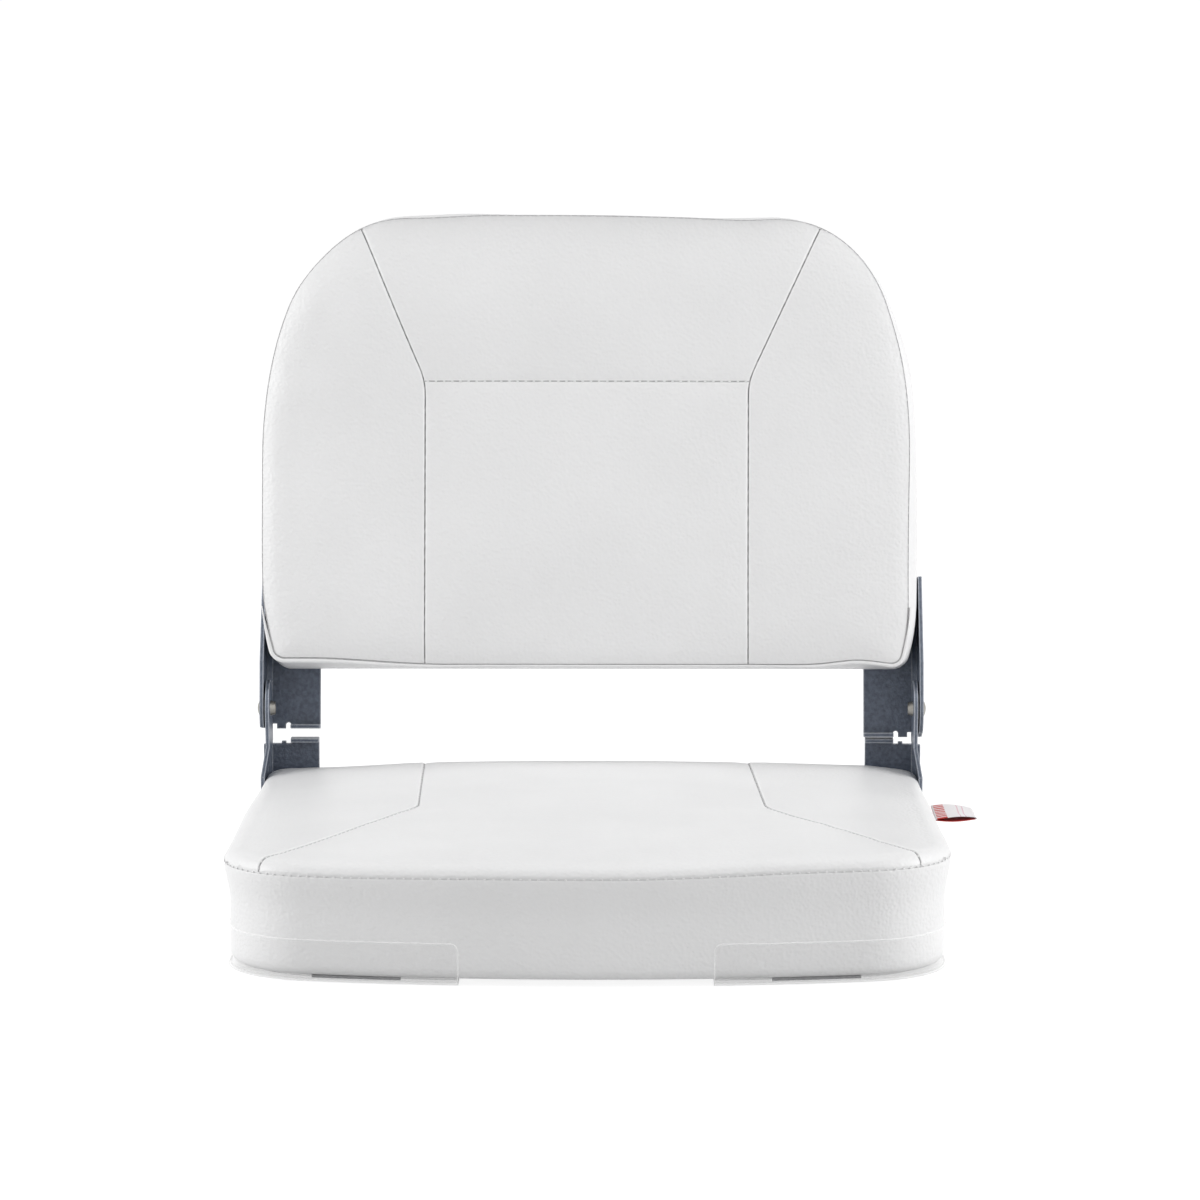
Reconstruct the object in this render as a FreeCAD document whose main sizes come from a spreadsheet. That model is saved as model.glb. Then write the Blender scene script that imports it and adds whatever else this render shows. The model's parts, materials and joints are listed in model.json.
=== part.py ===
import FreeCAD
import Part
import Sketcher
import math
import os
import re

# Folding boat seat: a padded seat on a moulded pan, a padded back, and a pair of
# riveted sheet metal hinges that let the back fold forward onto the seat.
# Frame: X to the right as seen from the front, Y to the rear, Z up.
# The origin is the centre of the bolt pattern on the mounting face.
# The back's pieces are drawn in a frame of their own at the hinge pivot:
# x across, y up along the back, z forward, out of its front face.
# Lengths are millimetres and angles are degrees.
DIMENSIONS = {
    # Seat cushion
    "seat_width": 429,
    "seat_taper": 3.5,
    "seat_front": 205,
    "seat_rear": 200,
    "seat_bow_radius": 850,
    "seat_front_corner": 60,
    "seat_rear_corner": 20,
    "least_corner": 2,
    "seat_seam_height": 64.5,
    "seat_crown": 8.5,
    "seat_draw_in": 3.5,
    "seat_draw_height": 41,
    "hem_height": 4.2,
    "hem_round": 5,
    "hem_width": 20,
    "seat_side_panel": 108.5,
    "seat_panel_kink": 10,
    "seat_corner_panel": 10,
    # Covers
    "vinyl": 1.2,
    "cover_gap": 0.1,
    "channel_width": 4,
    "channel_depth": 0.6,
    # Seat pan and its mounting pad
    "pan_top": 24,
    "pan_skin": 3,
    "pan_border": 25,
    "rib_wall": 2.5,
    "rib_recess": 2,
    "bolt_spacing": 127,
    "boss_radius": 11,
    "upright_top": 54,
    "upright_depth": 18,
    "upright_half": 10,
    # Threaded inserts
    "nut_bore": 2.6,
    "nut_barrel": 4.2,
    "nut_flange": 9,
    "nut_flange_wall": 1.5,
    "insert_fit": 0.02,
    # Back cushion
    "back_width": 420,
    "back_bottom": 26.2,
    "back_top": 318.3,
    "back_bottom_corner": 29,
    "back_side_top": 160,
    "back_side_radius": 330,
    "back_top_corner": 82,
    "back_rear": 25.9,
    "back_seam": 24,
    "back_seam_inset": 2.6,
    "back_crown": 6.5,
    "back_rear_round": 4,
    "back_side_panel": 105.5,
    "back_panel_shelf": 210,
    "back_corner_panel": 62.5,
    "board_wall": 12,
    "board_inset": 10,
    "welt_radius": 1.6,
    # Hinges
    "pivot_inset": 25,
    "fold_gap": 4.5,
    "back_lean": 10,
    "plate": 2.5,
    "hinge_side_gap": 0.4,
    "washer_wall": 1,
    "hinge_gap": 0.2,
    "ear_radius": 18,
    "upper_end_radius": 16,
    "bend_radius": 3,
    "flange_overlap": 33,
    "upper_plate_top": 86,
    "upper_plate_shoulder": 30,
    "upper_plate_top_depth": 22,
    "stop_gap_right": 0.4,
    "stop_gap_left": 5.5,
    "lip_depth": 9,
    "notch_width": 3.2,
    "notch_depth": 4,
    "notch_inset": 3,
    "stop_drop": 23,
    "lower_plate_bottom": 10,
    "lower_plate_depth": 36.6,
    "joggle_drop": 24,
    "joggle_rise": 20,
    "bend_relief": 9,
    "relief_inset": 6,
    # Pivot rivets
    "rivet_radius": 4,
    "rivet_head": 6,
    "rivet_dome": 2,
    "rivet_tail": 3.2,
    "rivet_dimple": 1.4,
    "running_fit": 0.05,
    "washer_radius": 11,
    # Hinge screws
    "screw_radius": 2.5,
    "screw_head": 5,
    "screw_dome": 2.6,
    "screw_length": 14,
    "screw_clearance": 0.3,
    "thread_fit": 0.02,
    "screw_inset": 26,
    "back_screw_low": 46,
    "back_screw_pitch": 25,
    "seat_screw_low": 16,
    "seat_screw_pitch": 24,
    # Hem staples
    "staple_pitch": 38,
    "staple_edge": 7,
    "staple_crown": 10,
    "staple_wire": 0.7,
    "staple_leg": 7,
    # Side tag
    "tag_width": 52,
    "tag_centre": 28,
    "tag_reach": 26.2,
    "tag_wall": 0.5,
    "tag_loop": 2.4,
    # Corner guards and their tape
    "guard_wall": 1,
    "guard_top": 26,
    "guard_bottom": 1.5,
    "guard_lip": 16,
    "guard_front_run": 140.5,
    "guard_side_run": 113,
    "guard_corner": 5,
    "tape_width": 10,
    "tape_length": 52,
    "tape_inset": 54.5,
}

# Share of the outline's size and of the crown's height at each crown section.
CROWN_SHAPE = [(0.97, 0.3), (0.9, 0.62), (0.76, 0.86), (0.5, 1.0)]
RIB_COUNT = 8
PAD_RIB_COUNT = 4
# Longer than the seat, for shapes that only cut; and a length too small to matter.
REACH = 600
TINY = 1e-4

Vector = FreeCAD.Vector
X_AXIS = Vector(1, 0, 0)
Y_AXIS = Vector(0, 1, 0)
Z_AXIS = Vector(0, 0, 1)

doc = FreeCAD.newDocument("folding_boat_seat")
sheet = doc.addObject("Spreadsheet::Sheet", "Sizes")
for row, (alias, number) in enumerate(DIMENSIONS.items(), start=1):
    sheet.set(f"A{row}", alias)
    sheet.set(f"B{row}", str(number))
    sheet.setAlias(f"B{row}", alias)
doc.recompute()

parts = []


# Sizes and expressions

def bind(text):
    """Write a formula's size names as references to the sheet."""
    def reference(match):
        word = match.group()
        return f"Sizes.{word}" if word in DIMENSIONS else word
    return re.sub(r"[a-z_]+[a-z]", reference, str(text))


def value(text):
    """Work out a formula of the sheet's sizes."""
    return float(sheet.evalExpression(bind(text)))


FLANGE_Y = "(seat_rear + cover_gap)"
FLANGE_REAR_Y = f"({FLANGE_Y} + plate)"
SEAT_CORNER_X = "(seat_width / 2 - seat_front_corner)"
SEAT_CORNER_GAP = "(seat_bow_radius - seat_front_corner)"
SEAT_CORNER_DROP = f"sqrt({SEAT_CORNER_GAP}^2 - {SEAT_CORNER_X}^2)"
SEAT_BOW_CENTRE = "(seat_bow_radius - seat_front)"
SEAT_CORNER_Y = f"({SEAT_BOW_CENTRE} - {SEAT_CORNER_DROP})"


def seat_side(y):
    """The seat's half width where its sides draw together towards the rear."""
    run = f"(seat_rear - seat_rear_corner - {SEAT_CORNER_Y})"
    return f"(seat_width / 2 - seat_taper * (({y}) - {SEAT_CORNER_Y}) / {run})"


SEAT_REAR_HALF = "(seat_width / 2 - seat_taper)"
UPPER_INNER = f"(max({seat_side(f'{FLANGE_REAR_Y} - lower_plate_depth')}; back_width / 2) + hinge_side_gap)"
UPPER_OUTER = f"({UPPER_INNER} + plate)"
EAR_OUTER = f"({UPPER_INNER} - hinge_gap - washer_wall)"
EAR_INNER = f"({EAR_OUTER} - plate)"
PIVOT_Y = "(seat_rear - pivot_inset)"
PIVOT_Z = "(seat_seam_height + seat_crown + fold_gap + back_seam + back_crown)"
STOP_Z = f"({PIVOT_Z} - stop_drop)"
JOGGLE_TOP = f"({PIVOT_Z} - joggle_drop)"
LOWER_PLATE_TOP = f"({JOGGLE_TOP} - joggle_rise)"
TAB_END = f"({UPPER_INNER} - bend_relief)"
NOTCH_END = f"({TAB_END} - notch_inset)"
NOTCH_START = f"({NOTCH_END} - notch_width)"
UPPER_FLANGE = "(back_rear + cover_gap)"
UPPER_FLANGE_REAR = f"({UPPER_FLANGE} + plate)"
SEAT_FLANGE_END = f"({SEAT_REAR_HALF} - flange_overlap)"
BACK_FLANGE_END = "(back_width / 2 - flange_overlap)"
SEAT_SCREW_X = f"({SEAT_REAR_HALF} - screw_inset)"
BACK_SCREW_X = "(back_width / 2 - screw_inset)"
SEAT_SCREW_HEIGHTS = ("seat_screw_low", "seat_screw_low + seat_screw_pitch")
BACK_SCREW_HEIGHTS = ("back_screw_low", "back_screw_low + back_screw_pitch")
# Depth of a hole that passes through one plate with room to spare.
THROUGH_PLATE = "(3 * plate)"
PAN_INSET = "(seat_draw_in + vinyl + cover_gap)"
PAN_BOTTOM = "(hem_height + vinyl)"
PAN_REAR = "(seat_rear - vinyl - cover_gap)"
RIB_PITCH = "(bolt_spacing / 3)"
PAD_HALF = f"({RIB_PITCH} * {PAD_RIB_COUNT + 1} / 2 + rib_wall / 2)"


# Sketches and solid features

def new_body(label):
    body = doc.addObject("PartDesign::Body", label)
    body.Label = label
    return body


def new_sketch(body, name, role, offset="0"):
    sketch = body.newObject("Sketcher::SketchObject", f"{body.Name}_{name}")
    plane = [item for item in body.Origin.OriginFeatures if item.Role == role][0]
    sketch.AttachmentSupport = [(plane, "")]
    sketch.MapMode = "FlatFace"
    sketch.setExpression("AttachmentOffset.Base.z", bind(offset))
    return sketch


def arc_edge(start, end, radius):
    """The lesser arc from start to end, turning to the left as it goes."""
    chord = end - start
    half = chord.Length / 2
    rise = radius - math.sqrt(max(radius * radius - half * half, 0))
    outward = Vector(chord.y, -chord.x, 0).normalize()
    return Part.Arc(start, (start + end) * 0.5 + outward * rise, end)


def numbers(corners):
    """Work out an outline's corners, each x, y and the radius of the edge that follows."""
    return [(Vector(value(x), value(y), 0), None if radius is None else value(radius))
            for x, y, radius in corners]


def draw(sketch, corners):
    """Draw a closed outline, held by the place of each corner and the radius of each arc."""
    first = sketch.GeometryCount
    points = numbers(corners)
    count = len(points)
    for index, (start, radius) in enumerate(points):
        end = points[(index + 1) % count][0]
        if radius is None:
            sketch.addGeometry(Part.LineSegment(start, end))
        else:
            sketch.addGeometry(arc_edge(start, end, radius))
    rules = []
    formulas = []
    for index, (x, y, radius) in enumerate(corners):
        edge = first + index
        rules.append(Sketcher.Constraint("Coincident", edge, 2, first + (index + 1) % count, 1))
        formulas.append(None)
        rules.append(Sketcher.Constraint("DistanceX", edge, 1, points[index][0].x))
        formulas.append(x)
        rules.append(Sketcher.Constraint("DistanceY", edge, 1, points[index][0].y))
        formulas.append(y)
        if radius is not None:
            rules.append(Sketcher.Constraint("Radius", edge, points[index][1]))
            formulas.append(radius)
    hold(sketch, rules, formulas)


def draw_circle(sketch, x, y, radius):
    edge = sketch.GeometryCount
    centre = Vector(value(x), value(y), 0)
    sketch.addGeometry(Part.Circle(centre, Z_AXIS, value(radius)))
    rules = [Sketcher.Constraint("DistanceX", edge, 3, centre.x),
             Sketcher.Constraint("DistanceY", edge, 3, centre.y),
             Sketcher.Constraint("Radius", edge, value(radius))]
    hold(sketch, rules, [x, y, radius])


def hold(sketch, rules, formulas):
    start = sketch.ConstraintCount
    sketch.addConstraint(rules)
    for index, formula in enumerate(formulas):
        if formula is not None:
            sketch.setExpression(f"Constraints[{start + index}]", bind(formula))


def rectangle(left, bottom, right, top):
    return [(left, bottom, None), (right, bottom, None), (right, top, None), (left, top, None)]


def pad(body, sketch, length, reverse=False):
    feature = body.newObject("PartDesign::Pad", f"{sketch.Name}_pad")
    feature.Profile = sketch
    feature.setExpression("Length", bind(length))
    feature.Reversed = reverse
    doc.recompute()
    return feature


def pocket(body, sketch, length, reverse=False):
    """Cut a sketch's outline out of the body, and stop if nothing came away."""
    before = body.Shape.Volume
    feature = body.newObject("PartDesign::Pocket", f"{sketch.Name}_pocket")
    feature.Profile = sketch
    feature.setExpression("Length", bind(length))
    feature.Reversed = reverse
    doc.recompute()
    if body.Shape.Volume > before - TINY:
        raise RuntimeError(f"{feature.Name} removed nothing")
    return feature


def revolve(body, sketch, axis):
    feature = body.newObject("PartDesign::Revolution", f"{sketch.Name}_turn")
    feature.Profile = sketch
    feature.ReferenceAxis = (sketch, [axis])
    feature.Angle = 360
    doc.recompute()
    return feature


def repeat(body, feature, role, pitch, count):
    pattern = body.newObject("PartDesign::LinearPattern", f"{feature.Name}_row")
    pattern.Originals = [feature]
    axis = [item for item in body.Origin.OriginFeatures if item.Role == role][0]
    pattern.Direction = (axis, [""])
    pattern.setExpression("Length", bind(f"({pitch}) * {count - 1}"))
    pattern.Occurrences = count
    body.Tip = pattern
    doc.recompute()
    return pattern


def soften(body, feature, kind, radius, chosen):
    """Round or bevel the edges that the test picks out."""
    names = [f"Edge{index}" for index, edge in enumerate(feature.Shape.Edges, start=1) if chosen(edge)]
    if not names:
        raise RuntimeError(f"{feature.Name} has no such edge")
    round_edge = body.newObject(f"PartDesign::{kind}", f"{feature.Name}_{kind.lower()}")
    round_edge.Base = (feature, names)
    property_name = "Radius" if kind == "Fillet" else "Size"
    round_edge.setExpression(property_name, bind(radius))
    doc.recompute()
    return round_edge


def mirrored(label, source):
    twin = doc.addObject("Part::Mirroring", label)
    twin.Label = label
    twin.Source = source
    twin.Normal = X_AXIS
    doc.recompute()
    return twin


def solid_piece(label, shape):
    piece = doc.addObject("Part::Feature", label)
    piece.Label = label
    piece.Shape = shape
    return piece


def keep(*pieces):
    parts.extend(pieces)


def on_back(piece):
    """Carry a piece from the back's own frame to its place at the pivot."""
    spot = f"create(<<vector>>; 0; {bind(PIVOT_Y)}; {bind(PIVOT_Z)})"
    turn = "create(<<rotation>>; create(<<vector>>; 1; 0; 0); 90 - Sizes.back_lean)"
    piece.setExpression("Placement", f"create(<<placement>>; {spot}; {turn})")
    doc.recompute()
    return piece


# Shapes made from outlines

def wire(corners, height=0, share=1, centre=Vector(0, 0, 0)):
    """A closed wire of lines and arcs, shrunk about a centre by a share."""
    points = [(centre + (point - centre) * share, radius) for point, radius in numbers(corners)]
    edges = []
    for index, (start, radius) in enumerate(points):
        end = points[(index + 1) % len(points)][0]
        if radius is None:
            edges.append(Part.LineSegment(start, end).toShape())
        else:
            edges.append(arc_edge(start, end, radius * share).toShape())
    outline = Part.Wire(edges)
    outline.translate(Vector(0, 0, height))
    return outline


def prism(corners, bottom, top):
    face = Part.Face(wire(corners, bottom))
    return face.extrude(Vector(0, 0, top - bottom))


def polygon_prism(points, bottom, top):
    closed = [Vector(x, y, bottom) for x, y in points + points[:1]]
    face = Part.Face(Part.makePolygon(closed))
    return face.extrude(Vector(0, 0, top - bottom))


def ribbon(points, width, bottom, top):
    """Upright walls of one width along a line of points, joined round the corners."""
    walls = []
    for (x0, y0), (x1, y1) in zip(points, points[1:]):
        run = Vector(x1 - x0, y1 - y0, 0)
        side = Vector(-run.y, run.x, 0).normalize() * (width / 2)
        corners = [(x0 - side.x, y0 - side.y), (x1 - side.x, y1 - side.y),
                   (x1 + side.x, y1 + side.y), (x0 + side.x, y0 + side.y)]
        walls.append(polygon_prism(corners, bottom, top))
    for x, y in points[1:-1]:
        walls.append(Part.makeCylinder(width / 2, top - bottom, Vector(x, y, bottom)))
    return walls[0].multiFuse(walls[1:])


def loft(wires):
    return Part.makeLoft(wires, True, True)


def one_solid(shape):
    """The largest solid of a boolean's result."""
    return max(shape.Solids, key=lambda item: item.Volume).copy()


# Seat outline

def seat_outline(inset, rear_inset):
    """The seat's plan, with bowed front and rounded corners, drawn in by an inset."""
    bow = f"(seat_bow_radius - ({inset}))"
    front_x = f"({bow} * {SEAT_CORNER_X} / {SEAT_CORNER_GAP})"
    front_y = f"({SEAT_BOW_CENTRE} - {bow} * {SEAT_CORNER_DROP} / {SEAT_CORNER_GAP})"
    side = f"(seat_width / 2 - ({inset}))"
    rear_side = f"({SEAT_REAR_HALF} - ({inset}))"
    rear = f"(seat_rear - ({rear_inset}))"
    front_radius = f"(seat_front_corner - ({inset}))"
    rear_radius = f"max(seat_rear_corner - ({inset}); least_corner)"
    return [(f"-{front_x}", front_y, bow),
            (front_x, front_y, front_radius),
            (side, SEAT_CORNER_Y, None),
            (rear_side, f"{rear} - {rear_radius}", rear_radius),
            (f"{rear_side} - {rear_radius}", rear, None),
            (f"-({rear_side} - {rear_radius})", rear, rear_radius),
            (f"-{rear_side}", f"{rear} - {rear_radius}", None),
            (f"-{side}", SEAT_CORNER_Y, front_radius)]


def seat_side_wires(skin, bottom=None):
    """Sections of the seat's sides, from the hem up to the seam, under a skin."""
    bevel = skin * (math.sqrt(2) - 1)
    draw_in = value("seat_draw_in")
    foot = value("hem_height + hem_round") + bevel
    sections = []
    if bottom is None:
        turn_in = value("hem_round") + bevel
        sections.append((draw_in + turn_in, turn_in, value("hem_height") + skin))
        sections.append((draw_in + skin, skin, foot))
    else:
        sections.append((draw_in + skin, skin, bottom))
    sections.append((draw_in + skin, skin, value("seat_draw_height")))
    sections.append((skin, skin, value("seat_seam_height") - skin / 2))
    return [wire(seat_outline(inset, rear), height) for inset, rear, height in sections]


def seat_crown_wires(skin):
    """Sections of the seat's crowned top, from the seam inward, under a skin."""
    seam = value("seat_seam_height")
    crown = value("seat_crown")
    outline = seat_outline(skin, skin)
    return [wire(outline, seam - skin + rise * crown, share) for share, rise in CROWN_SHAPE]


def seat_seam_line(side):
    """The panel seam on one side: straight from the rear, then out to the front corner."""
    x = value("seat_width / 2 - seat_side_panel")
    kink = value("seat_panel_kink")
    front_x = value("seat_width / 2 - seat_corner_panel")
    front = value("seat_front")
    slope = (front_x - x) / (front + kink)
    far_y = -front - x
    far_x = x + slope * (kink - far_y)
    return [(side * x, REACH), (side * x, kink), (side * far_x, far_y)]


# Back outline, in the back's own frame

def back_outline(inset):
    """The back's face: straight sides, sides that lean in above, round upper corners."""
    half = "(back_width / 2)"
    side = f"({half} - ({inset}))"
    low = f"(back_bottom + ({inset}))"
    low_radius = f"(back_bottom_corner - ({inset}))"
    low_x = f"({half} - back_bottom_corner)"
    low_y = "(back_bottom + back_bottom_corner)"
    arc_x = f"({half} - back_side_radius)"
    gap = "(back_side_radius - back_top_corner)"
    corner_y = "(back_top - back_top_corner)"
    corner_run = f"sqrt({gap}^2 - ({corner_y} - back_side_top)^2)"
    corner_x = f"({arc_x} + {corner_run})"
    side_radius = f"(back_side_radius - ({inset}))"
    meet_x = f"({arc_x} + {side_radius} * {corner_run} / {gap})"
    meet_y = f"(back_side_top + {side_radius} * ({corner_y} - back_side_top) / {gap})"
    top_radius = f"(back_top_corner - ({inset}))"
    top = f"(back_top - ({inset}))"
    return [(f"-{low_x}", low, None),
            (low_x, low, low_radius),
            (side, low_y, None),
            (side, "back_side_top", side_radius),
            (meet_x, meet_y, top_radius),
            (corner_x, top, None),
            (f"-{corner_x}", top, top_radius),
            (f"-{meet_x}", meet_y, side_radius),
            (f"-{side}", "back_side_top", None),
            (f"-{side}", low_y, low_radius)]


def back_side_wires(skin):
    """Sections of the back's edge, from its rear face forward to the front seam."""
    rear = -value("back_rear") + skin
    turn_in = value("back_rear_round")
    sections = [(turn_in + skin, rear),
                (skin, rear + turn_in),
                (skin, 0),
                (value("back_seam_inset") + skin, value("back_seam") - skin / 2)]
    return [wire(back_outline(inset), height) for inset, height in sections]


def back_crown_wires(skin):
    seam = value("back_seam")
    crown = value("back_crown")
    outline = back_outline(value("back_seam_inset") + skin)
    centre = Vector(0, value("back_bottom + back_top") / 2, 0)
    return [wire(outline, seam - skin + rise * crown, share, centre) for share, rise in CROWN_SHAPE]


def back_seam_line(side):
    """The panel seam on one side: straight up, then out to the upper corner."""
    x = value("back_width / 2 - back_side_panel")
    shelf = value("back_panel_shelf")
    top_x = value("back_width / 2 - back_corner_panel")
    slope = (top_x - x) / (value("back_top") - shelf)
    far_y = value("back_top") + x
    return [(side * x, -REACH), (side * x, shelf), (side * (x + slope * (far_y - shelf)), far_y)]


# Seat pan

def rib_edges(count):
    """The two edges of each rib in an evenly spaced row about the middle."""
    for index in range(count):
        middle = f"{RIB_PITCH} * {index - (count - 1) / 2}"
        yield f"{middle} - rib_wall / 2", f"{middle} + rib_wall / 2"


def make_seat_pan():
    body = new_body("seat_pan")
    plate = new_sketch(body, "plate", "XY_Plane", PAN_BOTTOM)
    draw(plate, seat_outline(PAN_INSET, "vinyl + cover_gap"))
    slab = pad(body, plate, f"pan_top - {PAN_BOTTOM}")
    bottom = value(PAN_BOTTOM)
    bevel = "hem_round + (vinyl + cover_gap) * sqrt(2) - 2 * vinyl - cover_gap"
    soften(body, slab, "Chamfer", bevel, lambda edge: edge.BoundBox.ZMax < bottom + TINY)

    hollow = new_sketch(body, "hollow", "XY_Plane", PAN_BOTTOM)
    draw(hollow, seat_outline(f"{PAN_INSET} + pan_border", f"{PAN_INSET} + pan_border"))
    pocket(body, hollow, f"pan_top - pan_skin - {PAN_BOTTOM}", reverse=True)

    rib_floor = f"({PAN_BOTTOM} + rib_recess)"
    rib_rise = f"pan_top - pan_skin / 2 - {rib_floor}"
    front = f"-(seat_front - {PAN_INSET} - pan_border - rib_wall)"
    rear = f"seat_rear - {PAN_INSET} - pan_border + rib_wall"
    side = f"(seat_width / 2 - {PAN_INSET} - pan_border + rib_wall)"
    long_rib = new_sketch(body, "long_rib", "XY_Plane", rib_floor)
    for low, high in rib_edges(RIB_COUNT):
        draw(long_rib, rectangle(low, front, high, rear))
    pad(body, long_rib, rib_rise)
    cross_rib = new_sketch(body, "cross_rib", "XY_Plane", rib_floor)
    for low, high in rib_edges(RIB_COUNT):
        draw(cross_rib, rectangle(f"-{side}", low, side, high))
    pad(body, cross_rib, rib_rise)

    wall = new_sketch(body, "pad_wall", "XY_Plane")
    inner = f"({PAD_HALF} - rib_wall)"
    draw(wall, rectangle(f"-{PAD_HALF}", f"-{PAD_HALF}", PAD_HALF, PAD_HALF))
    draw(wall, rectangle(f"-{inner}", f"-{inner}", inner, inner))
    pad(body, wall, "pan_top - pan_skin / 2")
    pad_rise = f"{rib_floor} + rib_wall"
    mid_wall = f"({PAD_HALF} - rib_wall / 2)"
    pad_long = new_sketch(body, "pad_long_rib", "XY_Plane")
    for low, high in rib_edges(PAD_RIB_COUNT):
        draw(pad_long, rectangle(low, f"-{mid_wall}", high, mid_wall))
    pad(body, pad_long, pad_rise)
    pad_cross = new_sketch(body, "pad_cross_rib", "XY_Plane")
    for low, high in rib_edges(PAD_RIB_COUNT):
        draw(pad_cross, rectangle(f"-{mid_wall}", low, mid_wall, high))
    pad(body, pad_cross, pad_rise)

    corners = [(x, y) for x in ("-", "") for y in ("-", "")]
    bosses = new_sketch(body, "bosses", "XY_Plane")
    bores = new_sketch(body, "bores", "XY_Plane", "pan_top")
    seats = new_sketch(body, "nut_seats", "XY_Plane", "pan_top")
    for x, y in corners:
        spot = (f"{x}bolt_spacing / 2", f"{y}bolt_spacing / 2")
        draw_circle(bosses, *spot, "boss_radius")
        draw_circle(bores, *spot, "nut_barrel + insert_fit")
        draw_circle(seats, *spot, "nut_flange + insert_fit")
    pad(body, bosses, "pan_top - pan_skin / 2")
    pocket(body, bores, "pan_top + rib_wall")
    pocket(body, seats, "nut_flange_wall")

    uprights = new_sketch(body, "uprights", "XY_Plane", "pan_top - pan_skin / 2")
    upright_front = f"{PAN_REAR} - upright_depth"
    upright_end = f"{SEAT_SCREW_X} + upright_half"
    upright_start = f"{SEAT_SCREW_X} - upright_half"
    upright_rear = f"{PAN_REAR} - pan_skin"
    draw(uprights, rectangle(upright_start, upright_front, upright_end, upright_rear))
    draw(uprights, rectangle(f"-({upright_end})", upright_front, f"-({upright_start})", upright_rear))
    pad(body, uprights, "upright_top - pan_top + pan_skin / 2")

    holes = new_sketch(body, "screw_holes", "XZ_Plane", f"-({PAN_REAR})")
    for sign in ("-", ""):
        for height in SEAT_SCREW_HEIGHTS:
            draw_circle(holes, f"{sign}{SEAT_SCREW_X}", height, "screw_radius + thread_fit")
    pocket(body, holes, "screw_length", reverse=True)
    keep(body)
    return body


def make_mount_nuts():
    """Four flanged threaded inserts, pressed into the pan from above."""
    body = new_body("mount_t_nuts")
    half = new_sketch(body, "half", "XZ_Plane", "bolt_spacing / 2")
    half.setExpression("AttachmentOffset.Base.x", bind("-bolt_spacing / 2"))
    top = "pan_top"
    draw(half, [("nut_bore", "0", None), ("nut_barrel", "0", None),
                ("nut_barrel", f"{top} - nut_flange_wall", None),
                ("nut_flange", f"{top} - nut_flange_wall", None),
                ("nut_flange", top, None), ("nut_bore", top, None)])
    turned = revolve(body, half, "V_Axis")
    grid = body.newObject("PartDesign::LinearPattern", "mount_t_nuts_grid")
    grid.Originals = [turned]
    axes = {item.Role: item for item in body.Origin.OriginFeatures}
    grid.Direction = (axes["X_Axis"], [""])
    grid.Direction2 = (axes["Y_Axis"], [""])
    grid.Occurrences = 2
    grid.Occurrences2 = 2
    grid.setExpression("Length", bind("bolt_spacing"))
    grid.setExpression("Length2", bind("bolt_spacing"))
    body.Tip = grid
    doc.recompute()
    keep(body)


# Seat cushion and its cover

def make_seat_cushion():
    vinyl = value("vinyl")
    under = value("vinyl + cover_gap")
    seam = value("seat_seam_height")

    foam = loft(seat_side_wires(under, value("pan_top + cover_gap")) + seat_crown_wires(under))
    gap = value("cover_gap")
    for sign in (-1, 1):
        middle = sign * value(SEAT_SCREW_X)
        width = value("2 * (upright_half + cover_gap)")
        block = Part.makeBox(width, REACH, value("upright_top") + gap,
                             Vector(middle - width / 2, value(f"{PAN_REAR} - upright_depth") - gap, 0))
        foam = foam.cut(block)
    keep(solid_piece("seat_foam", one_solid(foam)))

    inside = loft(seat_side_wires(vinyl) + seat_crown_wires(vinyl))
    sides = loft(seat_side_wires(0)).cut(inside)
    hem_inset = value("seat_draw_in + hem_round + hem_width")
    opening = prism(seat_outline(hem_inset, hem_inset), -REACH, value("hem_height") + 2 * vinyl)
    boxing = sides.cut(opening)
    hole_radius = value("screw_radius + thread_fit")
    hole_start = value(PAN_REAR) - vinyl
    hole_depth = value("seat_rear + vinyl") - hole_start
    for sign in (-1, 1):
        for height in SEAT_SCREW_HEIGHTS:
            spot = Vector(sign * value(SEAT_SCREW_X), hole_start, value(height))
            boxing = boxing.cut(Part.makeCylinder(hole_radius, hole_depth, spot, Y_AXIS))
    keep(solid_piece("seat_cover_boxing", one_solid(boxing)))

    crown = loft([wire(seat_outline(0, 0), seam)] + seat_crown_wires(0))
    top = crown.cut(inside)
    sunk = crown.copy()
    sunk.translate(Vector(0, 0, -value("channel_depth")))
    sides_of_panel = {}
    for side in (-1, 1):
        line = seat_seam_line(side)
        groove = ribbon(line, value("channel_width"), seam, seam + 2 * value("seat_crown"))
        top = top.cut(groove.cut(sunk))
        outer = [(side * REACH, line[-1][1]), (side * REACH, REACH)]
        sides_of_panel[side] = polygon_prism(line + outer, 0, 2 * seam)
    keep(solid_piece("seat_cover_left", one_solid(top.common(sides_of_panel[-1]))))
    keep(solid_piece("seat_cover_right", one_solid(top.common(sides_of_panel[1]))))
    middle = top.cut(sides_of_panel[-1]).cut(sides_of_panel[1])
    keep(solid_piece("seat_cover_centre", one_solid(middle)))


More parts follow.
